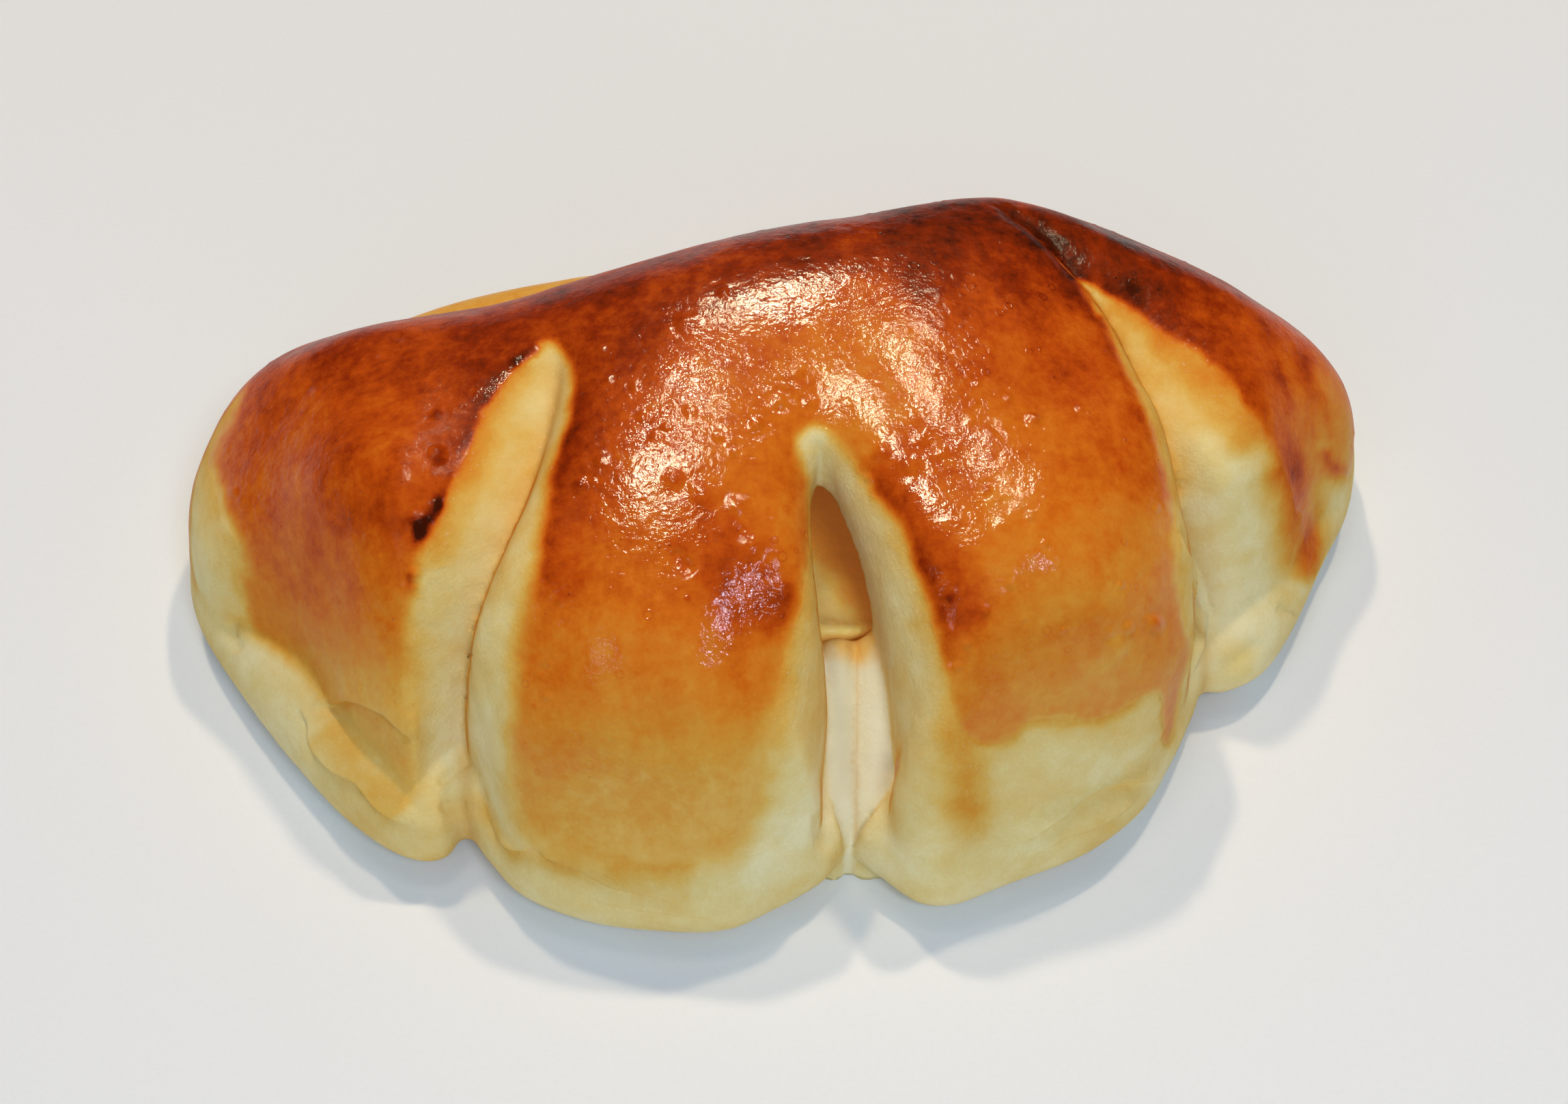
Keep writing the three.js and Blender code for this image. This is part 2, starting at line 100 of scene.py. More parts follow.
# Edge of the egg-washed crust as the main view sees it: across, up, edge softness, width of the browning ramp.
CRUST_EDGE = [
    (-55.55, 28.08, 0.46, 2.29), (-61.27, 17.02, 0.84, 3.82), (-63.79, 12.06, 0.84, 4.58), (-64.17, 9, 0.84, 4.58), (-63.03, 5.19, 0.84, 4.58),
    (-61.27, 0.61, 0.84, 4.58), (-60.89, -3.97, 0.84, 5.34), (-59.98, -8.93, 0.69, 5.34), (-55.4, -12.51, 0.69, 4.58), (-52.19, -15.57, 0.69, 3.82),
    (-50.21, -17.7, 0.76, 3.82), (-44.87, -22.66, 1.91, 4.58), (-41.82, -26.1, 1.53, 4.58), (-40.9, -20.76, 0.76, 3.82), (-41.51, -14.65, 1.07, 4.58),
    (-41.82, -8.55, 1.22, 4.58), (-41.36, -3.2, 1.07, 3.82), (-39.68, 1.37, 0.92, 3.05), (-37.85, 5.57, 0.46, 2.29), (-36.32, 8.62, 0.38, 1.91),
    (-34.57, 12.06, 0.31, 1.53), (-33.8, 14.96, 0.31, 1.53), (-32.51, 17.4, 0.31, 1.53), (-30.75, 19.69, 0.31, 1.53), (-28.46, 21.44, 0.31, 1.53),
    (-26.33, 23.27, 0.31, 1.91), (-24.88, 21.98, 0.31, 1.91), (-23.65, 19.31, 0.38, 1.91), (-23.88, 15.87, 0.61, 1.91), (-25.18, 11.29, 0.92, 2.29),
    (-26.33, 6.71, 1.07, 2.67), (-27.09, 1.37, 1.22, 3.05), (-28.08, -3.97, 1.37, 3.82), (-29.45, -9.31, 1.53, 4.58), (-30.22, -14.65, 1.68, 4.58),
    (-30.52, -20.76, 1.68, 4.58), (-30.37, -26.86, 1.91, 4.58), (-27.32, -31.82, 2.29, 4.58), (-18.92, -34.87, 2.67, 6.1), (-9.77, -34.87, 2.67, 6.1),
    (-4.81, -32.58, 2.67, 5.34), (-2.9, -26.86, 2.29, 4.58), (-1.98, -20.76, 2.14, 4.58), (-0.61, -14.65, 1.83, 4.2), (0.92, -9.31, 1.37, 3.82),
    (1.68, -5.49, 0.76, 3.05), (2.44, -0.92, 0.69, 2.67), (2.67, 3.66, 0.69, 2.29), (2.44, 8.24, 0.69, 2.29), (1.3, 11.67, 0.69, 2.29),
    (3.2, 13.74, 0.46, 2.29), (5.88, 12.82, 1.14, 2.29), (7.4, 10.91, 1.14, 2.29), (9.31, 7.86, 1.14, 2.29), (12.36, 4.04, 1.14, 2.67),
    (14.8, -1.68, 1.14, 2.67), (16.56, -7.02, 1.14, 2.67), (18.08, -13.12, 1.14, 2.67), (19.23, -18.47, 1.14, 2.29), (20.14, -19.99, 0.38, 1.91),
    (23.04, -21.37, 0.38, 1.91), (25.33, -20.76, 0.31, 1.91), (27.24, -19.23, 0.31, 1.91), (30.67, -18.92, 0.31, 1.91), (34.49, -18.77, 0.31, 1.91),
    (37.54, -17.4, 0.31, 1.91), (40.59, -16.33, 0.31, 1.91), (42.12, -15.8, 0.31, 1.53), (42.58, -21.14, 0.31, 0.92), (43.49, -20.37, 0.31, 0.92),
    (44.26, -15.41, 0.31, 1.53), (45.17, -11.6, 0.38, 1.91), (44.41, -7.02, 0.46, 2.29), (43.8, -2.44, 0.46, 2.67), (43.8, 2.9, 0.38, 2.67),
    (43.27, 8.24, 0.31, 2.67), (42.12, 12.06, 0.31, 2.29), (40.21, 16.63, 0.31, 2.29), (37.92, 21.21, 0.31, 1.91), (36.02, 25.03, 0.38, 1.53),
    (33.73, 28.84, 0.46, 1.14), (32.81, 30.22, 0.46, 1.14), (35.25, 29.23, 0.38, 1.14), (37.54, 27.55, 0.38, 1.91), (42.12, 24.27, 0.61, 2.67),
    (46.32, 21.59, 0.76, 3.05), (50.9, 17.02, 0.92, 3.05), (54.48, 12.06, 1.07, 3.05), (57, 6.71, 1.07, 2.29), (57.99, 2.14, 0.92, 1.53),
    (58.53, -3.2, 0.61, 0.92), (59.29, 1.37, 0.76, 1.14), (59.29, 6.71, 1.53, 1.91), (60.82, 8.24, 1.53, 2.29), (63.87, 9, 0.76, 3.05),
    (65.78, 15.87, 0.76, 4.58), (64.25, 28.08, 0.76, 4.58), (49.75, 36.47, 0.76, 4.58), (19.23, 47.92, 0.76, 4.58), (-18.92, 42.58, 0.76, 4.58),
]
# Folds of dough lapping over one another: points, height, width.
LEDGES = [
    ([(-52.88, -17.7), (-50.21, -16.94), (-47.92, -16.56), (-44.87, -17.93), (-41.82, -20.6), (-40.75, -22.28)], 1.1, 1.6),
    ([(-54.64, -16.94), (-53.11, -19.38), (-52.5, -21.9), (-50.59, -24.27), (-47.54, -26.1), (-44.87, -29.0), (-41.21, -30.98)], 1.1, 1.3),
    ([(-33.27, -28.39), (-32.2, -30.83), (-30.37, -33.12), (-27.32, -32.96), (-25.64, -34.64), (-22.74, -35.71), (-19.69, -37.31), (-15.49, -38.38), (-11.29, -39.45)], 0.9, 1.4),
    ([(-28.46, -32.35), (-26.33, -33.73), (-23.88, -34.64), (-20.45, -35.63), (-17.78, -37.24)], 0.5, 1.0),
    ([(-21.98, -38.92), (-17.4, -39.98), (-12.44, -40.67), (-7.48, -40.98)], 0.5, 1.0),
    ([(26.1, -32.96), (31.06, -29.61), (34.49, -26.78), (38.31, -25.79), (42.5, -25.87)], 1.3, 1.5),
    ([(26.86, -34.34), (31.44, -32.12), (36.02, -30.37), (40.75, -27.16)], 0.7, 1.1),
    ([(45.55, -14.65), (46.7, -10.84), (47.31, -7.02), (46.32, -3.2), (44.79, 0.61), (43.8, 3.28)], 0.8, 1.1),
]
CREASES = [
    ([(-38.76, -26.25), (-36.86, -24.57), (-34.95, -22.89)], 0.6, 0.7),
    ([(-0.99, -32.05), (1.83, -30.37), (3.51, -29.61), (4.43, -32.35), (5.8, -34.03)], 0.4, 0.9),
    ([(54.94, -6.1), (56.24, -6.56), (57.76, -6.71)], 0.5, 0.6),
    ([(47.84, -13.89), (51.28, -11.75), (53.72, -9.61)], 0.45, 1.0),
    ([(-62.04, -7.4), (-61.43, -10.07), (-60.89, -11.45)], 0.5, 0.8),
    ([(-38.76, -28.77), (-37.08, -28.23), (-35.25, -28.39)], 0.4, 0.7),
    ([(-12.44, 0.61), (-11.29, -1.07), (-9.92, -2.29)], 0.35, 0.7),
    ([(22.66, 39.37), (26.86, 37.08), (29.91, 34.95), (31.59, 32.28), (32.96, 30.22)], 0.3, 0.8),
]
# Blisters and dimples: across, up, radius, height.
BLISTERS = [
    (-38.76, 15.26, 0.84, 0.5), (-38.76, 10.91, 1.22, 0.75), (-40.9, 3.28, 1.3, 0.8), (-39.14, 4.81, 1.07, 0.4), (-41.43, -2.44, 0.92, 0.5), (-30.22, 21.59, 0.69, 0.35),
    (-42.96, 23.88, 0.61, -0.3), (-44.87, 21.59, 0.53, -0.25), (-52.35, 17.78, 0.69, 0.25), (-61.66, 6.71, 0.69, 0.25), (-22.74, 7.48, 0.92, 0.6), (-16.63, 18.54, 0.69, 0.4),
    (-3.05, 14.19, 0.99, 0.6), (-0.61, 16.79, 0.92, 0.5), (-7.48, 12.82, 0.69, 0.4), (-5.57, 11.14, 0.61, 0.45), (-19.69, 19.31, 0.61, 0.35), (-20.45, 22.74, 0.61, 0.35),
    (-26.55, -16.18, 0.69, 0.2), (-26.94, -13.12, 0.76, -0.2), (28, 14.96, 0.99, 0.75), (24.57, 14.35, 0.92, 0.3), (25.18, 17.25, 0.61, 0.35), (33.12, 16.1, 0.61, 0.35),
    (22.66, 6.87, 0.69, 0.45), (27.62, 3.89, 0.61, 0.4), (24.95, 3.66, 1.68, 0.35), (21.67, 18.92, 0.53, 0.3), (21.37, 16.63, 0.53, 0.3), (41.36, -7.94, 1.14, 0.85),
    (38.46, -8.39, 0.76, 0.5), (37.39, -10.84, 1.3, 0.5), (36.4, -8.93, 0.69, 0.3), (37.54, -3.74, 0.53, 0.35), (31.13, -8.7, 0.53, 0.3), (25.33, -3.59, 0.69, 0.45),
    (22.51, -6.64, 0.69, 0.35), (29.15, 0.99, 0.61, 0.4), (18.47, -5.11, 0.69, 0.4), (41.51, 4.81, 0.53, 0.3), (37.54, 9, 0.46, 0.3), (35.79, 9, 0.38, 0.25),
    (13.89, 9.77, 1.37, 0.35), (10.84, 11.14, 1.07, 0.4), (26.86, -7.4, 0.46, 0.25), (15.41, 12.82, 1.07, 0.3), (-9, 6.71, 1.68, 0.35), (-5.19, 5.19, 1.37, 0.35),
    (-3.66, 0.61, 1.68, 0.5), (-12.44, 8.24, 1.22, 0.3), (-14.35, 12.82, 0.92, 0.3), (-15.87, 15.11, 0.69, 0.4), (-13.2, 13.96, 0.61, 0.35), (-20.45, 10.53, 1.07, 0.3),
    (-10.53, 15.87, 0.69, 0.3), (-11.29, 25.79, 1.07, 0.3), (-6.71, 28.84, 0.69, 0.3), (1.68, 20.45, 1.07, 0.35), (2.82, 16.63, 0.92, 0.3), (17.7, 11.29, 0.92, 0.3),
    (9.69, 8.24, 0.69, 0.3), (-25.03, -5.49, 0.61, 0.25), (-21.37, 7.86, 0.61, 0.3), (-29.61, -12.21, 0.46, 0.2), (-34.95, -11.6, 0.31, -0.2), (20.37, -10.07, 0.76, 0.25),
    (19.38, -12.74, 0.61, 0.3), (-34.19, 17.78, 0.61, 0.3), (-32.96, 12.82, 0.53, 0.3), (29.15, 36.86, 0.46, 0.3), (35.25, 26.17, 0.53, 0.35),
]

# ------------------------------------------------------------------ small maths


def catmull(pts, closed, n):
    P = np.asarray(pts, float)
    N = len(P)
    out = []
    for i in range(N if closed else N - 1):
        if closed:
            a, b, c, d = P[(i - 1) % N], P[i], P[(i + 1) % N], P[(i + 2) % N]
        else:
            a, b, c, d = P[max(i - 1, 0)], P[i], P[i + 1], P[min(i + 2, N - 1)]
        for k in range(n):
            t = k / n
            out.append(0.5 * (2 * b + (c - a) * t + (2 * a - 5 * b + 4 * c - d) * t * t + (3 * b - a - 3 * c + d) * t**3))
    if not closed:
        out.append(P[-1])
    return np.array(out)


def smooth(a, b, x):
    t = np.clip((x - a) / (b - a), 0, 1)
    return t * t * (3 - 2 * t)


def near(x, y, line, closed=False):
    """Distance to a polyline, side of it (+ to the left of its run) and share of its length."""
    A = line if closed else line[:-1]
    B = np.roll(line, -1, 0) if closed else line[1:]
    A, B = A[:, :2], B[:, :2]
    L = np.linalg.norm(B - A, axis=1)
    cum = np.concatenate([[0], np.cumsum(L)])
    best = np.full(x.shape, 1e18)
    side = np.zeros(x.shape)
    par = np.zeros(x.shape)
    for i in range(len(A)):
        (ax, ay), (dx, dy) = A[i], B[i] - A[i]
        l2 = dx * dx + dy * dy
        if l2 < 1e-12:
            continue
        rx, ry = x - ax, y - ay
        t = np.clip((rx * dx + ry * dy) / l2, 0, 1)
        d2 = (rx - t * dx) ** 2 + (ry - t * dy) ** 2
        m = d2 < best
        best[m] = d2[m]
        side[m] = np.sign(dx * ry - dy * rx)[m]
        par[m] = ((cum[i] + t * L[i]) / cum[-1])[m]
    return np.sqrt(best), side, par


def inside(x, y, poly):
    c = np.zeros(x.shape, bool)
    n = len(poly)
    for i in range(n):
        x1, y1 = poly[i][:2]
        x2, y2 = poly[(i + 1) % n][:2]
        if y1 == y2:
            continue
        c ^= ((y1 > y) != (y2 > y)) & (x < (x2 - x1) * (y - y1) / (y2 - y1) + x1)
    return c


def crown(x, y):
    T = np.asarray(CROWN, float)
    gx = np.clip((x - CROWN_AT[0]) / CROWN_STEP, 0, T.shape[0] - 1.001)
    gy = np.clip((y - CROWN_AT[1]) / CROWN_STEP, 0, T.shape[1] - 1.001)
    i, j = np.floor(gx).astype(int), np.floor(gy).astype(int)
    fx, fy = gx - i, gy - j

    def w(t):
        return [-0.5 * t + t * t - 0.5 * t**3, 1 - 2.5 * t * t + 1.5 * t**3, 0.5 * t + 2 * t * t - 1.5 * t**3, -0.5 * t * t + 0.5 * t**3]

    wx, wy, r = w(fx), w(fy), 0
    for a in range(4):
        for c in range(4):
            r = r + wx[a] * wy[c] * T[np.clip(i + a - 1, 0, T.shape[0] - 1), np.clip(j + c - 1, 0, T.shape[1] - 1)]
    return r


def lattice(i, j, k, seed):
    n = (i * 374761393 + j * 668265263 + k * 2147483647 + seed * 974634777) & 0xFFFFFFFF
    n = ((n ^ (n >> 13)) * 1274126177) & 0xFFFFFFFF
    n = n ^ (n >> 16)
    return (n & 0xFFFFFF) / float(0xFFFFFF) * 2 - 1


def fog(p, size, seed=1):
    """Smooth value noise in -1..1 with features of that size in mm."""
    q = p / size + 311.7
    b = np.floor(q).astype(np.int64)
    f = q - b
    f = f * f * f * (f * (f * 6 - 15) + 10)
    r = 0
    for a in (0, 1):
        for c in (0, 1):
            for e in (0, 1):
                w = (f[:, 0] if a else 1 - f[:, 0]) * (f[:, 1] if c else 1 - f[:, 1]) * (f[:, 2] if e else 1 - f[:, 2])
                r = r + w * lattice(b[:, 0] + a, b[:, 1] + c, b[:, 2] + e, seed)
    return r


def blend_min(a, b, k):
    h = np.clip(0.5 + 0.5 * (b - a) / k, 0, 1)
    return b * (1 - h) + a * h - k * h * (1 - h)


def blend_max(a, b, k):
    return -blend_min(-a, -b, k)


# ------------------------------------------------------------------ the bread's solid
outline = catmull(OUTLINE, True, 8)
cut_l = catmull(LEFT_CUT, False, 6)
cut_r = catmull(RIGHT_CUT, False, 6)
slit = np.vstack([catmull(SLIT_L, False, 5), catmull(SLIT_R, False, 5)[::-1]])


def inset(x, y):
    a = 5.0 * np.exp(-((((x + 54) / 14) ** 2 + ((y + 30) / 17) ** 2) ** 2))
    b = 2.0 * np.exp(-((((x + 15) / 17) ** 2 + ((y + 50) / 10) ** 2) ** 2))
    c = 2.6 * np.exp(-((((x - 30) / 14) ** 2 + ((y + 42) / 11) ** 2) ** 2))
    e = 1.6 * np.exp(-((((x - 58) / 9) ** 2 + ((y + 8) / 14) ** 2) ** 2))
    k = 6.5 * smooth(-62, -44, x) * (1 - smooth(-6, 26, x)) * smooth(2, 24, y)
    r = 2.5 * smooth(-6, 26, x) * smooth(5, 30, y)
    return 0.7 + a + b + c + e + k + r


def cusp(q, p):
    q = np.clip(q, 0, 1)
    return 1 - (1 - (1 - q) ** p) ** (1 / p)


def plan(x, y):
    f = {"x": x, "y": y}
    d = near(x, y, outline, True)[0]
    f["d"] = np.where(inside(x, y, outline), d, -d)
    f["C"] = np.clip(crown(x, y), 12, 48)
    f["ins"] = inset(x, y)
    f["wt"] = 19 + 8 * smooth(5, 34, y) + 3 * (1 - smooth(-60, -20, x))
    f["bk"] = smooth(6, 26, y)
    f["kb"] = 0.8 + 4.2 * f["bk"]
    dd, side, t = near(x, y, cut_l)
    w = np.where(side < 0, np.interp(t, [0, 0.1, 0.3, 0.6, 1], [4, 8, 12, 13, 11]), np.interp(t, [0, 0.2, 1], [4, 6.0, 7.5]))
    A = np.interp(t, [0, 0.08, 0.25, 0.5, 0.75, 1], [0, 2.6, 5.0, 7.0, 8.5, 9])
    f["gA"] = A * cusp(np.sqrt((dd / w) ** 2 + 0.03**2), np.where(side < 0, 1.35, 2.2))
    f["dA"], f["sA"], f["tA"] = dd, side, t
    dd, side, t = near(x, y, cut_r)
    w = np.where(side > 0, np.interp(t, [0, 0.15, 0.3, 0.5, 0.7, 1], [6, 7, 10, 13, 14, 12]), np.interp(t, [0, 0.2, 0.4, 1], [3, 3.5, 5.5, 7]))
    A = np.interp(t, [0, 0.1, 0.22, 0.4, 0.6, 0.8, 1], [0, 1.3, 2.2, 4.8, 7.2, 8.8, 9])
    f["gC"] = A * cusp(np.sqrt((dd / w) ** 2 + 0.03**2), np.where(side > 0, 1.3, 2.2))
    f["dC"], f["sC"], f["tC"] = dd, side, t
    ds = near(x, y, slit, True)[0]
    f["dS"] = ds = np.where(inside(x, y, slit), -ds, ds)
    w = np.where(x > np.interp(-y, [15, 45], [5, 7]), 6.0, 4.5)
    f["gB"] = np.interp(-y, [8, 14, 18, 24, 34, 44], [0, 1.0, 4.0, 6.0, 7.5, 8.0]) * cusp(ds / w, 2.1)
    xc = np.interp(-y, [4, 10, 18], [3.0, 3.2, 3.4])
    f["gB"] = f["gB"] + 1.3 * np.exp(-(((x - xc) / 5.0) ** 2)) * (1 - smooth(-14, 0, y)) * smooth(-30, -16, y)
    z0 = np.interp(-y, [18, 22, 24.5, 27, 31, 35, 38.5, 40.5, 42], [14, 19, 20.8, 20.3, 17.2, 13.4, 9.0, 5.0, 0])
    pn = 1 - smooth(-43, -36, y)
    q1 = np.clip(np.abs(x - (5.2 + 0.9 * pn)) / 2.55, 0, 1)
    q2 = np.clip(np.abs(x - (10.0 - 2.2 * pn)) / 2.7, 0, 1)
    f["hF"] = z0 - 2.0 + np.maximum((2.9 - 1.6 * pn) * (1 - q1**2.4), (2.7 - 1.5 * pn) * (1 - q2**2.4))
    return f


def bread(f, z):
    """Distance-like field of the bread: negative inside."""
    s = np.maximum(1e-3, 1 - (f["d"] - f["ins"]) / f["wt"])
    sz = np.where(z >= 8.5, f["C"] - 8.5, 13.0)
    up = np.maximum(np.abs(z - 8.5) / sz, 1e-3)
    R = (s**2.15 + up**2.15) ** (1 / 2.15)
    top = (R - 1) / np.sqrt(((s / R) ** 1.15 / f["wt"]) ** 2 + ((up / R) ** 1.15 / sz) ** 2)
    s = np.maximum(1e-3, 1 - f["d"] / 6.5)
    sz = np.where(z >= 4.6, 12 + 2.5 * f["bk"] - 4.6, 4.6)
    up = np.maximum(np.abs(z - 4.6) / sz, 1e-3)
    R = np.sqrt(s * s + up * up)
    rim = (R - 1) / np.sqrt((s / R / 6.5) ** 2 + (up / R / sz) ** 2)
    cuts = f["gA"] + f["gC"]
    F = blend_min(top + cuts + f["gB"], rim + 0.12 * cuts, f["kb"])
    F = blend_max(F, -np.maximum(f["dS"], f["hF"] - z), 0.6)
    F = blend_min(F, np.maximum((z - f["hF"]) * 0.75, np.maximum(f["dS"] - 2.5, 0.4 - f["d"])), 0.5)
    e = np.sqrt(((f["x"] - 1.5) / 16.5) ** 2 + ((f["y"] + 11.5) / 14.0) ** 2 + ((z - 22) / 10.5) ** 2)
    F = blend_max(F, -(e - 1) * 11, 1.2)
    return np.maximum(F, -z)


def skin(V, org, h):
    """Quads over the zero surface of a sampled field, one vertex per crossed cell."""
    S = V < 0
    nx, ny, nz = V.shape
    c = np.zeros((nx - 1, ny - 1, nz - 1), np.int8)
    for a in (0, 1):
        for b in (0, 1):
            for e in (0, 1):
                c += S[a : nx - 1 + a, b : ny - 1 + b, e : nz - 1 + e]
    act = (c > 0) & (c < 8)
    I = np.argwhere(act)
    idx = -np.ones(act.shape, np.int64)
    idx[act] = np.arange(len(I))
    acc, cnt = np.zeros((len(I), 3)), np.zeros(len(I))
    i, j, k = I.T
    for o in ((0, 0, 0), (1, 0, 0), (0, 1, 0), (1, 1, 0), (0, 0, 1), (1, 0, 1), (0, 1, 1), (1, 1, 1)):
        for ax in range(3):
            if o[ax]:
                continue
            p = list(o)
            p[ax] = 1
            va, vb = V[i + o[0], j + o[1], k + o[2]], V[i + p[0], j + p[1], k + p[2]]
            m = (va < 0) != (vb < 0)
            at = np.tile(np.array(o, float), (len(I), 1))
            at[:, ax] = np.where(m, va / np.where(m, va - vb, 1), 0)
            acc[m] += at[m]
            cnt[m] += 1
    v = (I + acc / cnt[:, None]) * h + np.array(org)
    quads = []
    for ax in range(3):
        b1, b2 = (ax + 1) % 3, (ax + 2) % 3
        s0, s1 = [slice(None)] * 3, [slice(None)] * 3
        s0[ax], s1[ax] = slice(0, -1), slice(1, None)
        A, B = S[tuple(s0)], S[tuple(s1)]
        X = np.argwhere(A != B)
        X = X[(X[:, b1] > 0) & (X[:, b2] > 0) & (X[:, b1] < V.shape[b1] - 1) & (X[:, b2] < V.shape[b2] - 1)]
        inn = A[tuple(X.T)]

        def at(d1, d2):
            Y = X.copy()
            Y[:, b1] -= d1
            Y[:, b2] -= d2
            return idx[tuple(Y.T)]

        q = np.stack([at(1, 1), at(0, 1), at(0, 0), at(1, 0)], 1)
        q[~inn] = q[~inn][:, ::-1]
        quads.append(q)
    return v, np.vstack(quads)


def sampled(field, us, vs, zs):
    X, Y = np.meshgrid(us, vs, indexing="ij")
    f = {k: a[:, :, None] for k, a in plan(X, Y).items()}
    V = np.empty((len(us), len(vs), len(zs)), np.float32)
    for i in range(0, len(zs), 8):
        V[:, :, i : i + 8] = field(f, zs[None, None, i : i + 8])
    return V


def normals(v, faces):
    n = np.zeros_like(v)
    for a, b, c in ((0, 1, 2), (0, 2, 3)) if faces.shape[1] == 4 else ((0, 1, 2),):
        m = np.cross(v[faces[:, b]] - v[faces[:, a]], v[faces[:, c]] - v[faces[:, a]])
        for k in (a, b, c):
            np.add.at(n, faces[:, k], m)
    return n / np.maximum(np.linalg.norm(n, axis=1), 1e-9)[:, None]


def split(v, tris, chosen):
    """Halves every edge of the chosen triangles and closes their neighbours, so no seam opens."""
    e = np.sort(np.stack([tris, np.roll(tris, -1, 1)], 2), 2)  # edge k joins corner k to k+1
    key = e[:, :, 0].astype(np.int64) * len(v) + e[:, :, 1]
    want = np.unique(key[chosen])
    hit = np.isin(key, want)
    mid = len(v) + np.searchsorted(want, key)
    new = (v[want // len(v)] + v[want % len(v)]) / 2
    out = [tris[hit.sum(1) == 0]]
    m = hit.sum(1) == 3
    t, k = tris[m], mid[m]
    out += [np.stack(s, 1) for s in ((t[:, 0], k[:, 0], k[:, 2]), (t[:, 1], k[:, 1], k[:, 0]), (t[:, 2], k[:, 2], k[:, 1]), (k[:, 0], k[:, 1], k[:, 2]))]
    for r in range(3):
        h, t, k = np.roll(hit, -r, 1), np.roll(tris, -r, 1), np.roll(mid, -r, 1)
        m = h[:, 0] & ~h[:, 1] & ~h[:, 2]
        out += [np.stack([t[m, 0], k[m, 0], t[m, 2]], 1), np.stack([k[m, 0], t[m, 1], t[m, 2]], 1)]
        m = h[:, 0] & h[:, 1] & ~h[:, 2]
        out += [np.stack([k[m, 0], t[m, 1], k[m, 1]], 1), np.stack([t[m, 0], k[m, 0], k[m, 1]], 1), np.stack([t[m, 0], k[m, 1], t[m, 2]], 1)]
    return np.vstack([v, new]), np.vstack(out)


def coarse_floor(v, tris, h, z=1e-4):
    """Merges the vertices of the flat underside into a coarse lattice, away from its edge."""
    flat = v[:, 2] < z
    for _ in range(3):
        edge = ~flat[tris].all(1)
        grow = flat.copy()
        grow[np.unique(tris[edge])] = False
        flat = grow
    cell = np.floor(v[:, :2] / (6 * h)).astype(np.int64)
    key = np.where(flat, cell[:, 0] * 100003 + cell[:, 1] + (1 << 40), np.arange(len(v)))
    _, first, inv = np.unique(key, return_index=True, return_inverse=True)
    cnt = np.bincount(inv)
    nv = np.stack([np.bincount(inv, v[:, k]) / cnt for k in range(3)], 1)
    t = inv[tris]
    t = t[(t[:, 0] != t[:, 1]) & (t[:, 1] != t[:, 2]) & (t[:, 2] != t[:, 0])]
    return nv, t


h = STEP_MM
zs = np.arange(-1.5 * h + 0.01, 50, h)
V = sampled(bread, np.arange(-72, 72, h), np.arange(-56, 52, h), zs)
v, q = skin(V, (-72, -56, zs[0]), h)
del V
# shorter diagonal of each quad
d0 = np.linalg.norm(v[q[:, 0]] - v[q[:, 2]], axis=1)
d1 = np.linalg.norm(v[q[:, 1]] - v[q[:, 3]], axis=1)
a, b = q[d0 <= d1], q[d0 > d1]
tris = np.vstack([a[:, [0, 1, 2]], a[:, [0, 2, 3]], b[:, [0, 1, 3]], b[:, [1, 2, 3]]])
v, tris = coarse_floor(v, tris, h)


# ------------------------------------------------------------------ what the main view sees of each point
fwd = (AIM - EYE) / np.linalg.norm(AIM - EYE)
sideways = np.array([1.0, 0, 0])
upward = np.cross(sideways, fwd)


def seen(p):
    r = p - EYE
    k = FAR / (r @ fwd)
    return (r @ sideways) * k, (r @ upward) * k


def facing(p, n):
    r = EYE - p
    return (n * (r / np.linalg.norm(r, axis=1)[:, None])).sum(1)


# ------------------------------------------------------------------ finer lattice where the skin shows detail
n = normals(v, tris)
face = facing(v, n)
A_, B_ = seen(v)
mark = np.zeros(len(v), bool)
for a, b, r, hgt in BLISTERS:
    mark |= (A_ - a) ** 2 + (B_ - b) ** 2 < (r + 0.9) ** 2
for pts, hgt, wid in LEDGES + CREASES:
    mark |= near(A_, B_, np.array([p[:2] for p in pts]))[0] < wid * 1.1 + 0.3
mark &= face > 0.12
v, tris = split(v, tris, mark[tris].all(1))


def pull(v, n, steps=2):
    """Moves the vertices onto the solid's surface along their normals, except on the flat underside."""
    free = v[:, 2] > 0.05
    p, m = v[free], n[free]
    for _ in range(steps):
        F = bread(plan(p[:, 0], p[:, 1]), p[:, 2])
        e = 0.05
        G = bread(plan(p[:, 0] + e * m[:, 0], p[:, 1] + e * m[:, 1]), p[:, 2] + e * m[:, 2])
        slope = np.clip((G - F) / e, 0.35, 3)
        p = p - m * np.clip(F / slope, -0.35, 0.35)[:, None]
    v = v.copy()
    v[free] = p
    return v


n = normals(v, tris)
v = pull(v, n, 1)


def calm(v, tris, where, rounds):
    """Evens out the lattice along a crease."""
    e = np.vstack([tris[:, [0, 1]], tris[:, [1, 2]], tris[:, [2, 0]]])
    e = e[where[e[:, 0]]]
    for _ in range(rounds):
        s = np.zeros_like(v)
        c = np.zeros(len(v))
        for k in range(3):
            s[:, k] = np.bincount(e[:, 0], v[e[:, 1], k], len(v))
        c = np.bincount(e[:, 0], minlength=len(v))
        m = c > 0
        v = v.copy()
        v[m] += 0.5 * (s[m] / c[m][:, None] - v[m])
    return v


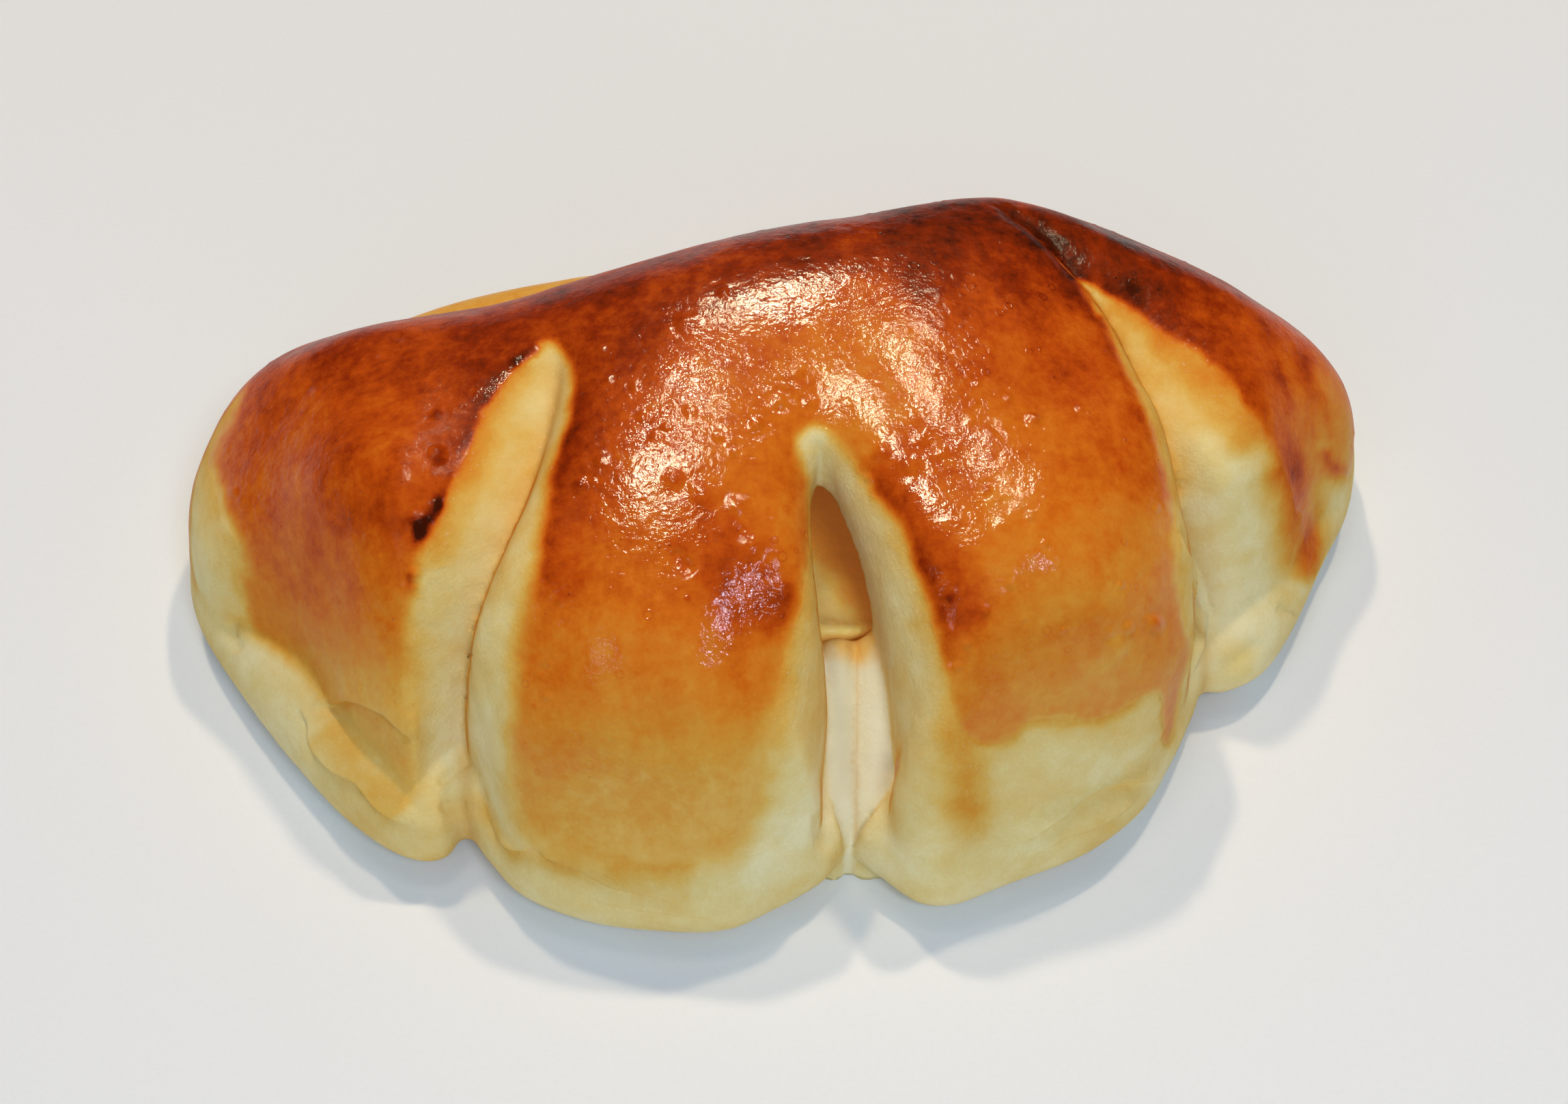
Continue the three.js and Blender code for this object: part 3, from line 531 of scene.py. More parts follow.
f = plan(v[:, 0], v[:, 1])
creased = ((f["dA"] < 0.9) | (f["dC"] < 0.9)) & (v[:, 2] > 0.3)
v = calm(v, tris, creased, 4)
v = calm(v, tris, (np.abs(f["dS"]) < 0.8) & (v[:, 2] > 1.0), 2)
for _ in range(2):
    n = normals(v, tris)
    e = np.vstack([tris[:, [0, 1]], tris[:, [1, 2]], tris[:, [2, 0]]])
    mean = np.stack([np.bincount(e[:, 0], n[e[:, 1], k], len(v)) for k in range(3)], 1)
    mean /= np.maximum(np.linalg.norm(mean, axis=1, keepdims=True), 1e-9)
    kink = ((n * mean).sum(1) < 0.93) & (v[:, 2] > 0.3)
    print("kinks", int(kink.sum()))
    v = calm(v, tris, kink, 4)
v = calm(v, tris, v[:, 2] > 0.3, 2)
n = normals(v, tris)
face = facing(v, n)
A_, B_ = seen(v)
f = plan(v[:, 0], v[:, 1])
u_, v_, z_ = v.T
front = smooth(0.02, 0.22, face) * (1 - smooth(22, 27, v_) * (1 - smooth(17, 21, z_)))
print("bread", len(v), "points", len(tris), "triangles")

# ------------------------------------------------------------------ browning and wash
edge = catmull([p[:2] for p in CRUST_EDGE], True, 5)
soft = catmull([p[2:] for p in CRUST_EDGE], True, 5)
dist, _, part = near(A_, B_, edge, True)
sd = np.where(inside(A_, B_, edge), dist, -dist)
L_ = np.concatenate([[0], np.cumsum(np.linalg.norm(np.roll(edge, -1, 0) - edge, axis=1))])
L_ = L_ / L_[-1]
soft_at = np.vstack([soft, soft[:1]])
blur = np.interp(part, L_, soft_at[:, 0])
ramp = np.interp(part, L_, soft_at[:, 1])
wob = 0.35 * fog(v, 3.1, 5) + 0.18 * fog(v, 1.2, 6)
wash_front = smooth(-blur * 0.6 - 0.2, blur * 0.6 + 0.2, sd + wob)
brown_front = smooth(-blur - 0.4, 0.35 * ramp + 0.3, sd + wob)
low = 9.0 + 1.8 * fog(v, 16, 7) + 0.8 * fog(v, 5, 8)
wash_back = smooth(low - 1.2, low + 1.2, z_)
brown_back = smooth(low - 3.5, low + 3.5, z_)
wash = front * wash_front + (1 - front) * wash_back
covered = front * brown_front + (1 - front) * brown_back

# level of browning, placed point by point over the crust
LEVELS = [
    (-49.9, 23.1, 3.9, 0.84), (-56.9, 16.1, 3.9, 0.76), (-61.3, 9.1, 3.5, 0.68), (-45.6, 12.6, 4.8, 0.76), (-38.5, 17.9, 3.9, 0.8), (-31.5, 20.5, 3.1, 0.84),
    (-52.6, 5.6, 4.4, 0.73), (-43.8, 2.1, 3.9, 0.74), (-58.7, 0.3, 3.5, 0.64), (-50.8, -5.8, 3.9, 0.62), (-43.8, -9.3, 3.5, 0.52), (-56.9, -8.4, 3.1, 0.52),
    (-52.6, -13.7, 3.5, 0.42), (-45.6, -16.3, 3.5, 0.34), (-49.9, -17.2, 2.6, 0.34), (-38.5, 7.3, 2.6, 0.8), (-40.3, -4.9, 2.2, 0.66), (-21, 19.6, 3.1, 0.82),
    (-23.2, 9.1, 3.1, 0.82), (-13.1, 9.1, 4.4, 0.68), (-4.4, 11.7, 3.5, 0.64), (-8.8, 17.9, 3.5, 0.68), (-15.8, 16.1, 3.1, 0.74), (0, 24, 3.9, 0.66),
    (8.8, 26.6, 3.9, 0.62), (-8.8, 25.7, 3.9, 0.78), (-18.4, 27.5, 3.9, 0.88), (-4.4, 32.7, 4.4, 0.9), (-23.7, 0.3, 2.6, 0.74), (-13.1, -1.4, 3.5, 0.72),
    (-3.5, -4.9, 3.1, 0.78), (0, 1.2, 2.6, 0.62), (0.9, 9.1, 2.6, 0.62), (-23.7, -11.1, 2.6, 0.6), (-26.3, -21.6, 2.6, 0.5), (-13.1, -12.8, 3.9, 0.56),
    (-4.4, -14.6, 3.5, 0.56), (-17.5, -21.6, 3.5, 0.44), (-8.8, -23.3, 3.5, 0.4), (-21, -28.6, 2.6, 0.33), (-13.1, -30.3, 3.5, 0.36), (-5.3, -29.4, 3.1, 0.32),
    (0, -21.6, 2.6, 0.32), (-13.1, -36.5, 3.1, 0.26), (-29.8, -25.9, 2.2, 0.4), (0.9, -12.8, 2.2, 0.5), (10.5, 17.9, 3.1, 0.6), (21.9, 26.6, 3.9, 0.74),
    (26.3, 33.6, 3.9, 0.91), (17.5, 35.4, 4.4, 0.95), (7, 35.4, 4.4, 0.9), (30.7, 22.2, 3.9, 0.74), (35, 12.6, 3.9, 0.66), (21.9, 16.1, 3.5, 0.68),
    (15.8, 7.3, 3.1, 0.74), (19.3, -4.9, 2.6, 0.76), (26.3, 2.1, 3.5, 0.58), (35, 2.1, 3.5, 0.54), (40.3, 10, 2.6, 0.72), (42, 0.3, 2.6, 0.52),
    (42, -10.2, 3.1, 0.46), (26.3, -11.1, 3.5, 0.52), (35, -14.6, 3.1, 0.46), (21, -15.4, 2.6, 0.56), (42, -4.9, 2.6, 0.56), (19.3, -19.8, 1.8, 0.44),
    (42.9, -18.1, 1.8, 0.48), (31.5, -6.7, 3.5, 0.52), (30.7, 37.1, 3.5, 0.96), (39.4, 33.6, 3.5, 0.92), (47.3, 27.5, 3.5, 0.82), (52.6, 24, 2.6, 0.74),
    (56.1, 19.6, 2.2, 0.66), (58.7, 16.1, 1.9, 0.48), (61.3, 11.7, 1.8, 0.36), (61.3, 5.6, 1.8, 0.3), (42, 24.9, 2.6, 0.82), (49.1, 17.9, 2.6, 0.82),
    (53.4, 12.6, 2.2, 0.72), (56.1, 7.3, 1.9, 0.62), (57.8, 2.1, 1.8, 0.5),
]
num = np.zeros(len(v))
den = np.full(len(v), 1e-9)
for a, b, r, lev in LEVELS:
    w = np.exp(-((A_ - a) ** 2 + (B_ - b) ** 2) / (2 * r * r)) + 1e-4 / (1 + (A_ - a) ** 2 + (B_ - b) ** 2)
    num += w * lev
    den += w
level_front = num / den
level_back = np.interp(z_, [5, 9, 13, 20, 30, 42], [0.1, 0.34, 0.62, 0.72, 0.82, 0.86])
level_back = level_back + 0.05 * fog(v, 18, 9)
level = front * level_front + (1 - front) * level_back
# pale dough keeps a faint warm bake away from creases
bare = 0.08 + 0.08 * fog(v, 11, 10) + 0.05 * fog(v, 4, 11) + 0.03 * fog(v, 1.8, 14) + 0.05 * smooth(14, 30, z_)
brown = bare * (1 - covered) + covered * level
brown = brown + 0.035 * fog(v, 6, 12) * covered + 0.02 * fog(v, 2.2, 13) * covered


def patch(pts, width, amount, ends=0.15):
    """Soft stroke along a given line of the main view."""
    line = catmull([p[:2] for p in pts], False, 6)
    d, _, t = near(A_, B_, line)
    return amount * np.exp(-((d / width) ** 2)) * smooth(0, ends, t) * (1 - smooth(1 - ends, 1, t)) * front


def spot(a, b, r, amount):
    return amount * np.exp(-((A_ - a) ** 2 + (B_ - b) ** 2) / (r * r)) * front


burn = patch([(-37.85, 7.33), (-38.46, 5.57), (-40.14, 2.52), (-41.36, -0.53)], 0.9, 1.0, 0.3) + spot(-40.9, 3.28, 1.2, 0.75) + spot(-38.61, 10.68, 1.0, 0.55)
burn = burn + patch([(-41.59, -1.53), (-41.51, -3.2), (-41.82, -5.49)], 0.7, 0.8, 0.3) + spot(41.36, -7.94, 0.9, 0.25) + spot(14.27, -8.16, 1.0, 0.2)
for a, b in (-38.76, 15.41), (-22.74, 7.55), (28.0, 14.96), (22.66, 6.87), (18.62, -5.19):
    burn = burn + spot(a, b, 0.55, 0.4)
burn = burn * (0.8 + 0.5 * fog(v, 1.1, 51))

# golden glow where bare dough meets the crust, widest on the two big cut faces
glow = np.full(len(v), 0.16)
reach = np.full(len(v), 1.3)
for line, wid, amount, far in (
    ([(-27.32, 21.98), (-30.37, 18.92), (-32.81, 15.11), (-34.03, 10.53), (-35.41, 5.95), (-37.24, 0.61), (-38.76, -3.97)], 4.5, 0.44, 3.0),
    ([(-38.76, -3.97), (-40.29, -10.84), (-40.67, -19.23)], 4.0, 0.22, 3.2),
    ([(34.49, 28.08), (39.07, 25.03), (43.65, 21.98), (48.99, 16.63), (53.57, 9.77)], 6.0, 0.46, 5.2),
    ([(53.57, 9.77), (57.0, 2.14), (58.15, -3.97)], 5.0, 0.46, 3.6),
    ([(34.49, 27.32), (37.16, 21.98), (39.83, 16.63), (42.12, 9.77), (43.27, 3.66)], 3.0, 0.30, 2.6),
    ([(8.16, 9.77), (12.36, 2.14), (15.03, -4.73), (16.56, -11.6), (17.7, -19.23), (18.47, -29.91)], 4.0, 0.30, 2.6),
    ([(2.44, 8.24), (2.29, 0.61), (1.68, -7.02), (-0.61, -16.18), (-3.28, -23.81), (-5.19, -31.44)], 5.0, 0.30, 3.4),
    ([(-28.08, -32.96), (-18.92, -35.25), (-9.0, -35.63)], 6.0, 0.30, 4.5),
    ([(-25.03, 15.87), (-26.55, 8.24), (-27.7, -0.92), (-29.23, -9.31), (-29.99, -17.7), (-30.22, -26.86)], 3.0, 0.26, 1.6),
    ([(-63.94, 12.82), (-63.33, 5.19), (-61.66, -3.2), (-60.13, -10.84)], 5.0, 0.24, 3.0),
    ([(-60.74, -8.16), (-55.55, -13.51), (-51.74, -16.94)], 4.0, 0.16, 0.8),
    ([(-51.74, -16.94), (-46.39, -22.28), (-41.82, -26.1)], 5.0, 0.20, 3.0),
    ([(21.52, -21.52), (30.67, -20.76), (40.59, -18.47)], 4.0, 0.20, 3.5),
    ([(44.41, 3.66), (44.79, -3.2), (45.55, -10.84)], 3.0, 0.22, 2.0),
):
    k = np.clip(patch(line, wid, 1.0, 0.12), 0, 1)
    glow = glow * (1 - k) + amount * k
    reach = reach * (1 - k) + far * k
halo = glow * np.exp(-np.maximum(-sd - 0.5 * wob, 0) / reach) * front
brown = np.maximum(brown, halo * (0.9 + 0.25 * fog(v, 2.5, 52)) + 0.5 * bare)

# custard: inside the hollow, and smeared over the top of the two strands
eh = np.sqrt(((u_ - 1.5) / 17.2) ** 2 + ((v_ + 11.5) / 14.7) ** 2 + ((z_ - 22) / 11.2) ** 2)
cave = (eh < 1.0) * (1 - front * smooth(0.5, 1.2, f["dS"]) * smooth(-2.5, -0.5, z_ - (f["C"] - f["gB"])))
strand = (1 - smooth(-0.2, 0.5, f["dS"])) * (z_ < f["hF"] + 1.2) * (v_ < -21)
cream = np.maximum(cave * (1 - strand), 0.75 * strand * (1 - smooth(2.4, 5.0, np.abs(v_ + 23.8) + 0.8 * fog(v, 1.5, 53))))
cream = np.maximum(cream, spot(38.31, -26.1, 1.8, 0.35))
cream = np.maximum(cream, spot(50.9, -11.98, 2.2, 0.35))
milk = strand * (1 - smooth(-28.2, -25.8, v_ + 0.7 * fog(v, 1.4, 55))) * (1 - 0.5 * (1 - smooth(-43, -38, v_)))
slot_in = (1 - smooth(-0.3, 0.4, f["dS"]))
wash = wash * (1 - slot_in * (z_ < f["C"] - 3.0))
brown = brown * (1 - np.clip(slot_in * (z_ < f["C"] - 3.0), 0, 1)) + 0.05 * np.clip(slot_in * (z_ < f["C"] - 3.0), 0, 1)

# darker, drier rims of the crust beside the cuts, and thin streaks left by the brush
brown = brown + patch([(-26.55, 23.12), (-30.75, 20.07), (-33.57, 16.48), (-34.49, 12.82), (-36.02, 8.62), (-37.62, 5.04), (-38.76, 0.61), (-40.67, -3.97)], 1.1, 0.14, 0.1) * wash
brown = brown + patch([(-23.88, 18.92), (-24.11, 15.11), (-25.41, 10.53), (-26.55, 5.95), (-27.09, 0.61), (-27.93, -3.97)], 1.8, 0.12, 0.1) * wash
brown = brown + patch([(2.29, -2.44), (1.83, -6.26), (0.92, -9.69)], 2.0, 0.07, 0.3) * wash
brown = brown + patch([(8.7, 9.0), (11.6, 5.19), (14.27, 0.61), (15.57, -3.97), (17.09, -9.31), (18.62, -14.65)], 1.5, 0.13, 0.1) * wash
brown = brown + patch([(18.08, -16.94), (19.61, -21.52), (20.6, -26.1), (20.76, -30.67), (20.14, -35.25)], 2.3, 0.24, 0.40)
brown = brown + patch([(16.94, -17.7), (17.7, -24.57), (17.09, -32.2)], 4.0, 0.10, 0.3)
brown = brown + patch([(20.37, -20.37), (23.2, -21.52), (25.49, -20.91), (27.32, -19.38), (31.06, -19.08), (34.72, -18.92), (37.7, -17.55), (40.9, -16.48)], 0.55, 0.14, 0.1)
brown = brown + patch([(33.73, 29.23), (38.31, 27.47), (42.88, 24.42), (47.08, 21.37), (51.43, 16.79), (54.94, 11.67), (57.23, 6.33)], 2.8, 0.07, 0.1)
brown = brown + patch([(54.48, 12.06), (56.47, 7.48), (57.61, 2.14), (58.22, -3.2)], 2.0, 0.20, 0.15)
brown = brown + patch([(22.82, 39.83), (26.86, 37.08), (30.29, 34.57), (32.81, 30.75), (35.41, 26.55), (38.31, 20.83), (41.36, 12.82)], 1.4, 0.08, 0.1) * wash
brown = brown + patch([(-34.19, -26.1), (-32.66, -29.91), (-30.22, -33.35), (-26.55, -34.64), (-21.98, -36.4)], 1.0, 0.10, 0.2)
for line, wid, amount in (
    ([(57.38, 23.5), (58.3, 18.92), (58.76, 14.35), (59.06, 9.77)], 0.9, 0.16),
    ([(59.29, 18.92), (60.43, 15.11), (61.35, 11.29)], 0.8, 0.16),
    ([(60.05, 12.06), (60.82, 10.15), (61.96, 9.0), (63.33, 9.77)], 1.1, 0.30),
    ([(54.33, 21.98), (55.86, 18.16), (56.62, 14.35)], 0.7, 0.10),
):
    brown = brown + patch(line, wid, amount, 0.25)

# walls deep in the cuts that turn away stay pale dough
inner = np.maximum((1 - smooth(3.0, 6.5, f["dC"])) * smooth(0.08, 0.2, f["tC"]), (1 - smooth(2.5, 5.5, f["dA"])) * smooth(0.08, 0.2, f["tA"])) * (1 - smooth(0.0, 0.12, face))
brown = brown * (1 - inner) + (0.2 + 0.05 * fog(v, 3.0, 60)) * inner
wash = wash * (1 - inner)

# pale bands that the wash missed
for line, wid, amount in (
    ([(-63.94, 10.68), (-63.33, 6.71), (-62.27, 3.28), (-61.5, 0.61)], 0.55, 0.35),
    ([(1.3, 11.67), (2.82, 12.82), (5.11, 12.82)], 1.0, 0.6),
    ([(53.19, -13.89), (54.48, -9.31), (55.86, -5.49)], 1.0, 0.3),
):
    brown = brown * (1 - patch(line, wid, amount, 0.2))
# the folded tip under the left lobe takes some colour too
flap = np.clip(patch([(-51.12, -18.85), (-47.92, -23.04), (-44.87, -26.48), (-41.82, -29.53)], 3.0, 1.2, 0.12), 0, 1) * np.clip(1.05 + 0.35 * fog(v, 3.0, 58), 0, 1)
brown = brown * (1 - flap) + (0.25 + 0.05 * fog(v, 2.2, 59)) * flap
wash = wash * (1 - flap)
brown = brown + patch([(-29.61, -36.78), (-18.92, -40.59), (-6.71, -40.98)], 2.2, 0.06, 0.3)
# how wet the glaze looks: full over the shoulders, drier along the back and low on the lobes
glaze = 0.10 + 0.80 * (1 - smooth(-8, 8, v_)) * smooth(10, 24, z_)
glaze = np.maximum(glaze, spot(3.97, 25.03, 17.0, 0.95))
glaze = np.maximum(glaze, np.maximum(patch([(-58.6, 21.98), (-50.97, 25.03), (-41.82, 26.94), (-32.66, 28.84)], 3.0, 0.5, 0.1), patch([(31.44, 36.47), (42.12, 33.42), (53.57, 28.08), (59.67, 21.98)], 4.0, 0.5, 0.1)))
glaze = glaze * (1 - np.clip(patch([(-38.76, 18.92), (-40.29, 11.29), (-41.43, 3.66), (-41.97, -3.97)], 4.5, 0.75, 0.05), 0, 1))
glaze = glaze * (1 - spot(-55.55, -7.02, 11.0, 0.8)) * (1 - spot(-34.95, 16.25, 6.5, 0.8)) * (1 - spot(-38.76, 12.06, 6.0, 0.8))
glaze = glaze * (1 - spot(42.5, -10.84, 4.5, 0.85)) * (1 - spot(57.76, 9.77, 6.5, 0.95))
glaze = glaze * (0.9 + 0.2 * fog(v, 9, 56))
shade = np.exp(-((f["dA"] / 1.0) ** 2)) * (1 - smooth(0.9, 1.0, f["tA"])) * smooth(0.02, 0.1, f["tA"]) * 0.7
shade = np.maximum(shade, np.exp(-((f["dC"] / 0.8) ** 2)) * smooth(0.1, 0.2, f["tC"]) * 0.6)
shade = np.maximum(shade, np.exp(-(((u_ - 7.65 + 0.25 * fog(v, 3.0, 54)) / 0.28) ** 2)) * strand * 0.7)
# the lower sheet stays paler where it peeps out behind the folded crest
strip = smooth(24, 29, v_) * (1 - smooth(15, 19, z_)) * (1 - smooth(-10, 5, u_))
brown = brown * (1 - 0.5 * strip)
# baked underside, with painted contact shade, showing as a thin brown line where the bun stands
brown = brown + 0.30 * (1 - smooth(0.2, 1.6 + 0.5 * fog(v, 5, 57), z_)) * (1 - strand) * smooth(3.0, 8.0, np.hypot(u_ - 6.8, v_ + 41.5))
brown = np.clip(brown, 0, 1)

# ------------------------------------------------------------------ fine shape
lift = 0.22 * fog(v, 17, 21) + 0.09 * fog(v, 6.5, 22) + 0.035 * fog(v, 2.6, 23) * (0.4 + 0.6 * wash)
lift = lift + (1 - wash) * front * (0.07 * fog(v, 3.6, 25) + 0.035 * fog(v, 1.7, 26))
for k, (pts, hgt, wid) in enumerate(LEDGES):
    line = catmull([p[:2] for p in pts], False, 6)
    d, side, t = near(A_, B_, line)
    s = d * side + 0.12 * fog(v, 1.8, 30 + k)
    fade = smooth(0.0, 0.22, t) * (1 - smooth(0.78, 1.0, t)) * front
    over = np.where(s > -0.25, smooth(-0.25, 0.25, s) * np.exp(-np.maximum(s, 0) / (2.2 * wid)), 0)
    under = -0.55 * np.exp(-np.maximum(-s, 0) / (0.7 * wid)) * (1 - smooth(-0.25, 0.25, s))
    lift = lift + hgt * (0.75 * over + under) * fade * (d < 6 * wid)
for k, (pts, hgt, wid) in enumerate(CREASES):
    line = catmull([p[:2] for p in pts], False, 6)
    d, _, t = near(A_, B_, line)
    lift = lift - hgt * np.exp(-((d / wid) ** 2)) * smooth(0, 0.2, t) * (1 - smooth(0.8, 1, t)) * front
for a, b, r, hgt in BLISTERS:
    rr = np.sqrt((A_ - a) ** 2 + (B_ - b) ** 2) / r
    dome = np.where(rr < 1, (1 - rr**2) ** 2, 0) - 0.22 * np.exp(-(((rr - 1.25) / 0.28) ** 2))
    lift = lift + hgt * 0.5 * dome * front
rng = np.random.default_rng(7)
base = v[(wash > 0.8) & (z_ > 14)]
pick = base[rng.integers(0, len(base), 420)]
for c in pick:
    m = np.abs(v - c).max(1) < 1.6
    r, hgt = rng.uniform(0.4, 0.85), rng.uniform(0.03, 0.10) * (1 if rng.random() < 0.8 else -1.2)
    rr = np.linalg.norm(v[m] - c, axis=1) / r
    lift[m] += hgt * np.where(rr < 1, (1 - rr**2) ** 2, 0)
lift = lift * smooth(0.05, 1.6, z_)
v = v + n * lift[:, None]
v[:, 2] = np.maximum(v[:, 2], 0)


def to_object(p):
    c, s = math.cos(TURN), math.sin(TURN)
    return np.stack([p[:, 0] * c + p[:, 1] * s + SHIFT[0], -p[:, 0] * s + p[:, 1] * c + SHIFT[1], p[:, 2]], 1) / 1000


def make(name, pts, faces, layers):
    me = bpy.data.meshes.new(name)
    me.vertices.add(len(pts))
    me.vertices.foreach_set("co", to_object(pts).astype(np.float32).ravel())
    k = faces.shape[1]
    me.loops.add(faces.size)
    me.loops.foreach_set("vertex_index", faces.astype(np.int32).ravel())
    me.polygons.add(len(faces))
    me.polygons.foreach_set("loop_start", np.arange(0, faces.size, k, dtype=np.int32))
    me.polygons.foreach_set("use_smooth", np.ones(len(faces), bool))
    me.update(calc_edges=True)
    me.validate()
    for key, val in layers.items():
        at = me.attributes.new(key, "FLOAT", "POINT")
        at.data.foreach_set("value", np.clip(val, 0, 1).astype(np.float32))
    o = bpy.data.objects.new(name, me)
    scene.collection.objects.link(o)
    return o


bun = make("bun_crust", v, tris, {"brown": brown, "wash": wash, "burn": burn, "milk": milk, "glaze": glaze, "cream": cream, "shade": shade})

# ------------------------------------------------------------------ custard
hc = 0.5


def custard(f, z):
    x, y = f["x"], f["y"]
    e = np.sqrt(((x - 1.5) / 16.1) ** 2 + ((y + 11.5) / 13.6) ** 2 + ((z - 22) / 10.1) ** 2)
    top = 19.9 + 1.5 * np.exp(-((x + 2) ** 2 + (y + 10) ** 2) / 130.0) + 0.35 * np.sin(x * 0.55 + 1.0) * np.cos(y * 0.6 + 0.4) - 0.9 * smooth(4, 12, x)
    # lip of custard lapping against the two strands of dough
    top = top + 1.2 * np.exp(-(((y + 24.2) / 1.7) ** 2)) * smooth(0.5, 3.5, x) * (1 - smooth(9.5, 12, x))
    return blend_max((e - 1) * 11, z - top, 0.9)


zc = np.arange(10.5, 25, hc)
uc, vc = np.arange(-17, 20, hc), np.arange(-27, 4, hc)
cv, cq = skin(sampled(custard, uc, vc, zc), (uc[0], vc[0], zc[0]), hc)
cn = normals(cv, cq)
cv = cv + cn * (0.12 * fog(cv, 3.0, 41) + 0.05 * fog(cv, 1.1, 42))[:, None]
ca, cb = seen(cv)
# painted light and shade: pale where painted light falls at the slit's lower left, painted shadow in deep orange up
# inside the hollow
(x0, y0), (x1, y1) = [(2.44, 2.52), (10.99, -9.92)]
across = ((ca - x0) * (y1 - y0) - (cb - y0) * (x1 - x0)) / math.hypot(x1 - x0, y1 - y0)
pale = smooth(-1.6, 2.6, across + 0.5 * fog(cv, 2.5, 43))
pale = np.maximum(pale, 0.62 * np.exp(-(((cv[:, 1] + 24.4) / 1.5) ** 2)))
cream_piece = make("custard_filling", cv, cq, {"painted_lit_custard": pale})

# ------------------------------------------------------------------ materials


class Nodes:
    """Short hand for building a node tree."""

    def __init__(self, name):
        self.mat = bpy.data.materials.new(name)
        self.mat.use_nodes = True
        self.t = self.mat.node_tree
        self.t.nodes.clear()
        self.out = self.t.nodes.new("ShaderNodeOutputMaterial")
        self.bsdf = self.t.nodes.new("ShaderNodeBsdfPrincipled")
        self.t.links.new(self.bsdf.outputs[0], self.out.inputs[0])
        co = self.t.nodes.new("ShaderNodeTexCoord")
        self.place = co.outputs["Object"]

    def put(self, sock, val):
        if hasattr(val, "is_output") or isinstance(val, bpy.types.NodeSocket):
            self.t.links.new(val, sock)
        elif isinstance(val, (tuple, list)) and len(val) == 3 and sock.type == "RGBA":
            sock.default_value = (*val, 1)
        else:
            sock.default_value = val

    def attr(self, name):
        n = self.t.nodes.new("ShaderNodeAttribute")
        n.attribute_name = name
        return n.outputs["Fac"]

    def noise(self, scale, detail=3.0, rough=0.55, at=None, warp=0.0):
        n = self.t.nodes.new("ShaderNodeTexNoise")
        self.put(n.inputs["Vector"], at or self.place)
        n.inputs["Scale"].default_value = scale
        n.inputs["Detail"].default_value = detail
        n.inputs["Roughness"].default_value = rough
        n.inputs["Distortion"].default_value = warp
        return n.outputs["Fac"]

    def cells(self, scale, feature="F1", at=None, rnd=1.0):
        n = self.t.nodes.new("ShaderNodeTexVoronoi")
        n.feature = feature
        self.put(n.inputs["Vector"], at or self.place)
        n.inputs["Scale"].default_value = scale
        n.inputs["Randomness"].default_value = rnd
        return n

    def math(self, op, a, b=0.0, c=0.0, clamp=False):
        n = self.t.nodes.new("ShaderNodeMath")
        n.operation = op
        n.use_clamp = clamp
        for i, x in enumerate((a, b, c)):
            self.put(n.inputs[i], x)
        return n.outputs[0]

    def span(self, x, a, b, lo=0.0, hi=1.0, kind="SMOOTHSTEP"):
        n = self.t.nodes.new("ShaderNodeMapRange")
        n.interpolation_type = kind
        self.put(n.inputs[0], x)
        for i, k in enumerate((a, b, lo, hi)):
            self.put(n.inputs[i + 1], k)
        return n.outputs[0]

    def ramp(self, x, stops):
        n = self.t.nodes.new("ShaderNodeValToRGB")
        cr = n.color_ramp
        while len(cr.elements) < len(stops):
            cr.elements.new(0.5)
        for el, (p, c) in zip(cr.elements, stops):
            el.position = p
            el.color = (*linear(c), 1)
        self.put(n.inputs[0], x)
        return n.outputs[0]

    def mix(self, k, a, b, how="MIX"):
        n = self.t.nodes.new("ShaderNodeMix")
        n.data_type = "RGBA"
        n.blend_type = how
        n.clamp_factor = True
        self.put(n.inputs[0], k)
        self.put(n.inputs[6], a)
        self.put(n.inputs[7], b)
        return n.outputs[2]

    def bump(self, height, dist, strength=1.0, under=None):
        n = self.t.nodes.new("ShaderNodeBump")
        n.inputs["Distance"].default_value = dist
        self.put(n.inputs["Strength"], strength)
        self.put(n.inputs["Height"], height)
        if under is not None:
            self.put(n.inputs["Normal"], under)
        return n.outputs[0]

    def squash(self, sx, sy, sz, turn=0.0):
        n = self.t.nodes.new("ShaderNodeMapping")
        self.put(n.inputs["Vector"], self.place)
        n.inputs["Scale"].default_value = (sx, sy, sz)
        n.inputs["Rotation"].default_value = (0, 0, turn)
        return n.outputs[0]


def linear(c):
    return tuple(((x / 255) / 12.92 if x / 255 <= 0.04045 else ((x / 255 + 0.055) / 1.055) ** 2.4) for x in c)


BAKE = [
    (0.00, (241, 226, 178)),
    (0.10, (232, 207, 140)),
    (0.24, (226, 180, 90)),
    (0.38, (221, 155, 58)),
    (0.50, (219, 133, 40)),
    (0.62, (213, 108, 22)),
    (0.74, (192, 76, 11)),
    (0.86, (144, 44, 5)),
    (1.00, (66, 20, 5)),
]

crust = Nodes("Egg_washed_crust")
g = crust
brown_a, wash_a = g.attr("brown"), g.attr("wash")
patchy = g.noise(190, 4, 0.6)
fine = g.noise(720, 4, 0.62)
grainy = g.noise(2600, 3, 0.6)
streaky = g.noise(260, 4, 0.6, at=g.squash(1.0, 0.22, 0.4, 0.16), warp=0.4)
b = g.math("MULTIPLY_ADD", g.math("SUBTRACT", patchy, 0.5), g.span(brown_a, 0.05, 0.5, 0.07, 0.26), brown_a)
b = g.math("MULTIPLY_ADD", g.math("SUBTRACT", fine, 0.5), g.span(brown_a, 0.05, 0.5, 0.08, 0.24), b)
b = g.math("MULTIPLY_ADD", g.math("SUBTRACT", streaky, 0.5), g.span(brown_a, 0.1, 0.4, 0.0, 0.18), b)
b = g.math("MULTIPLY_ADD", g.math("SUBTRACT", grainy, 0.5), 0.09, b)
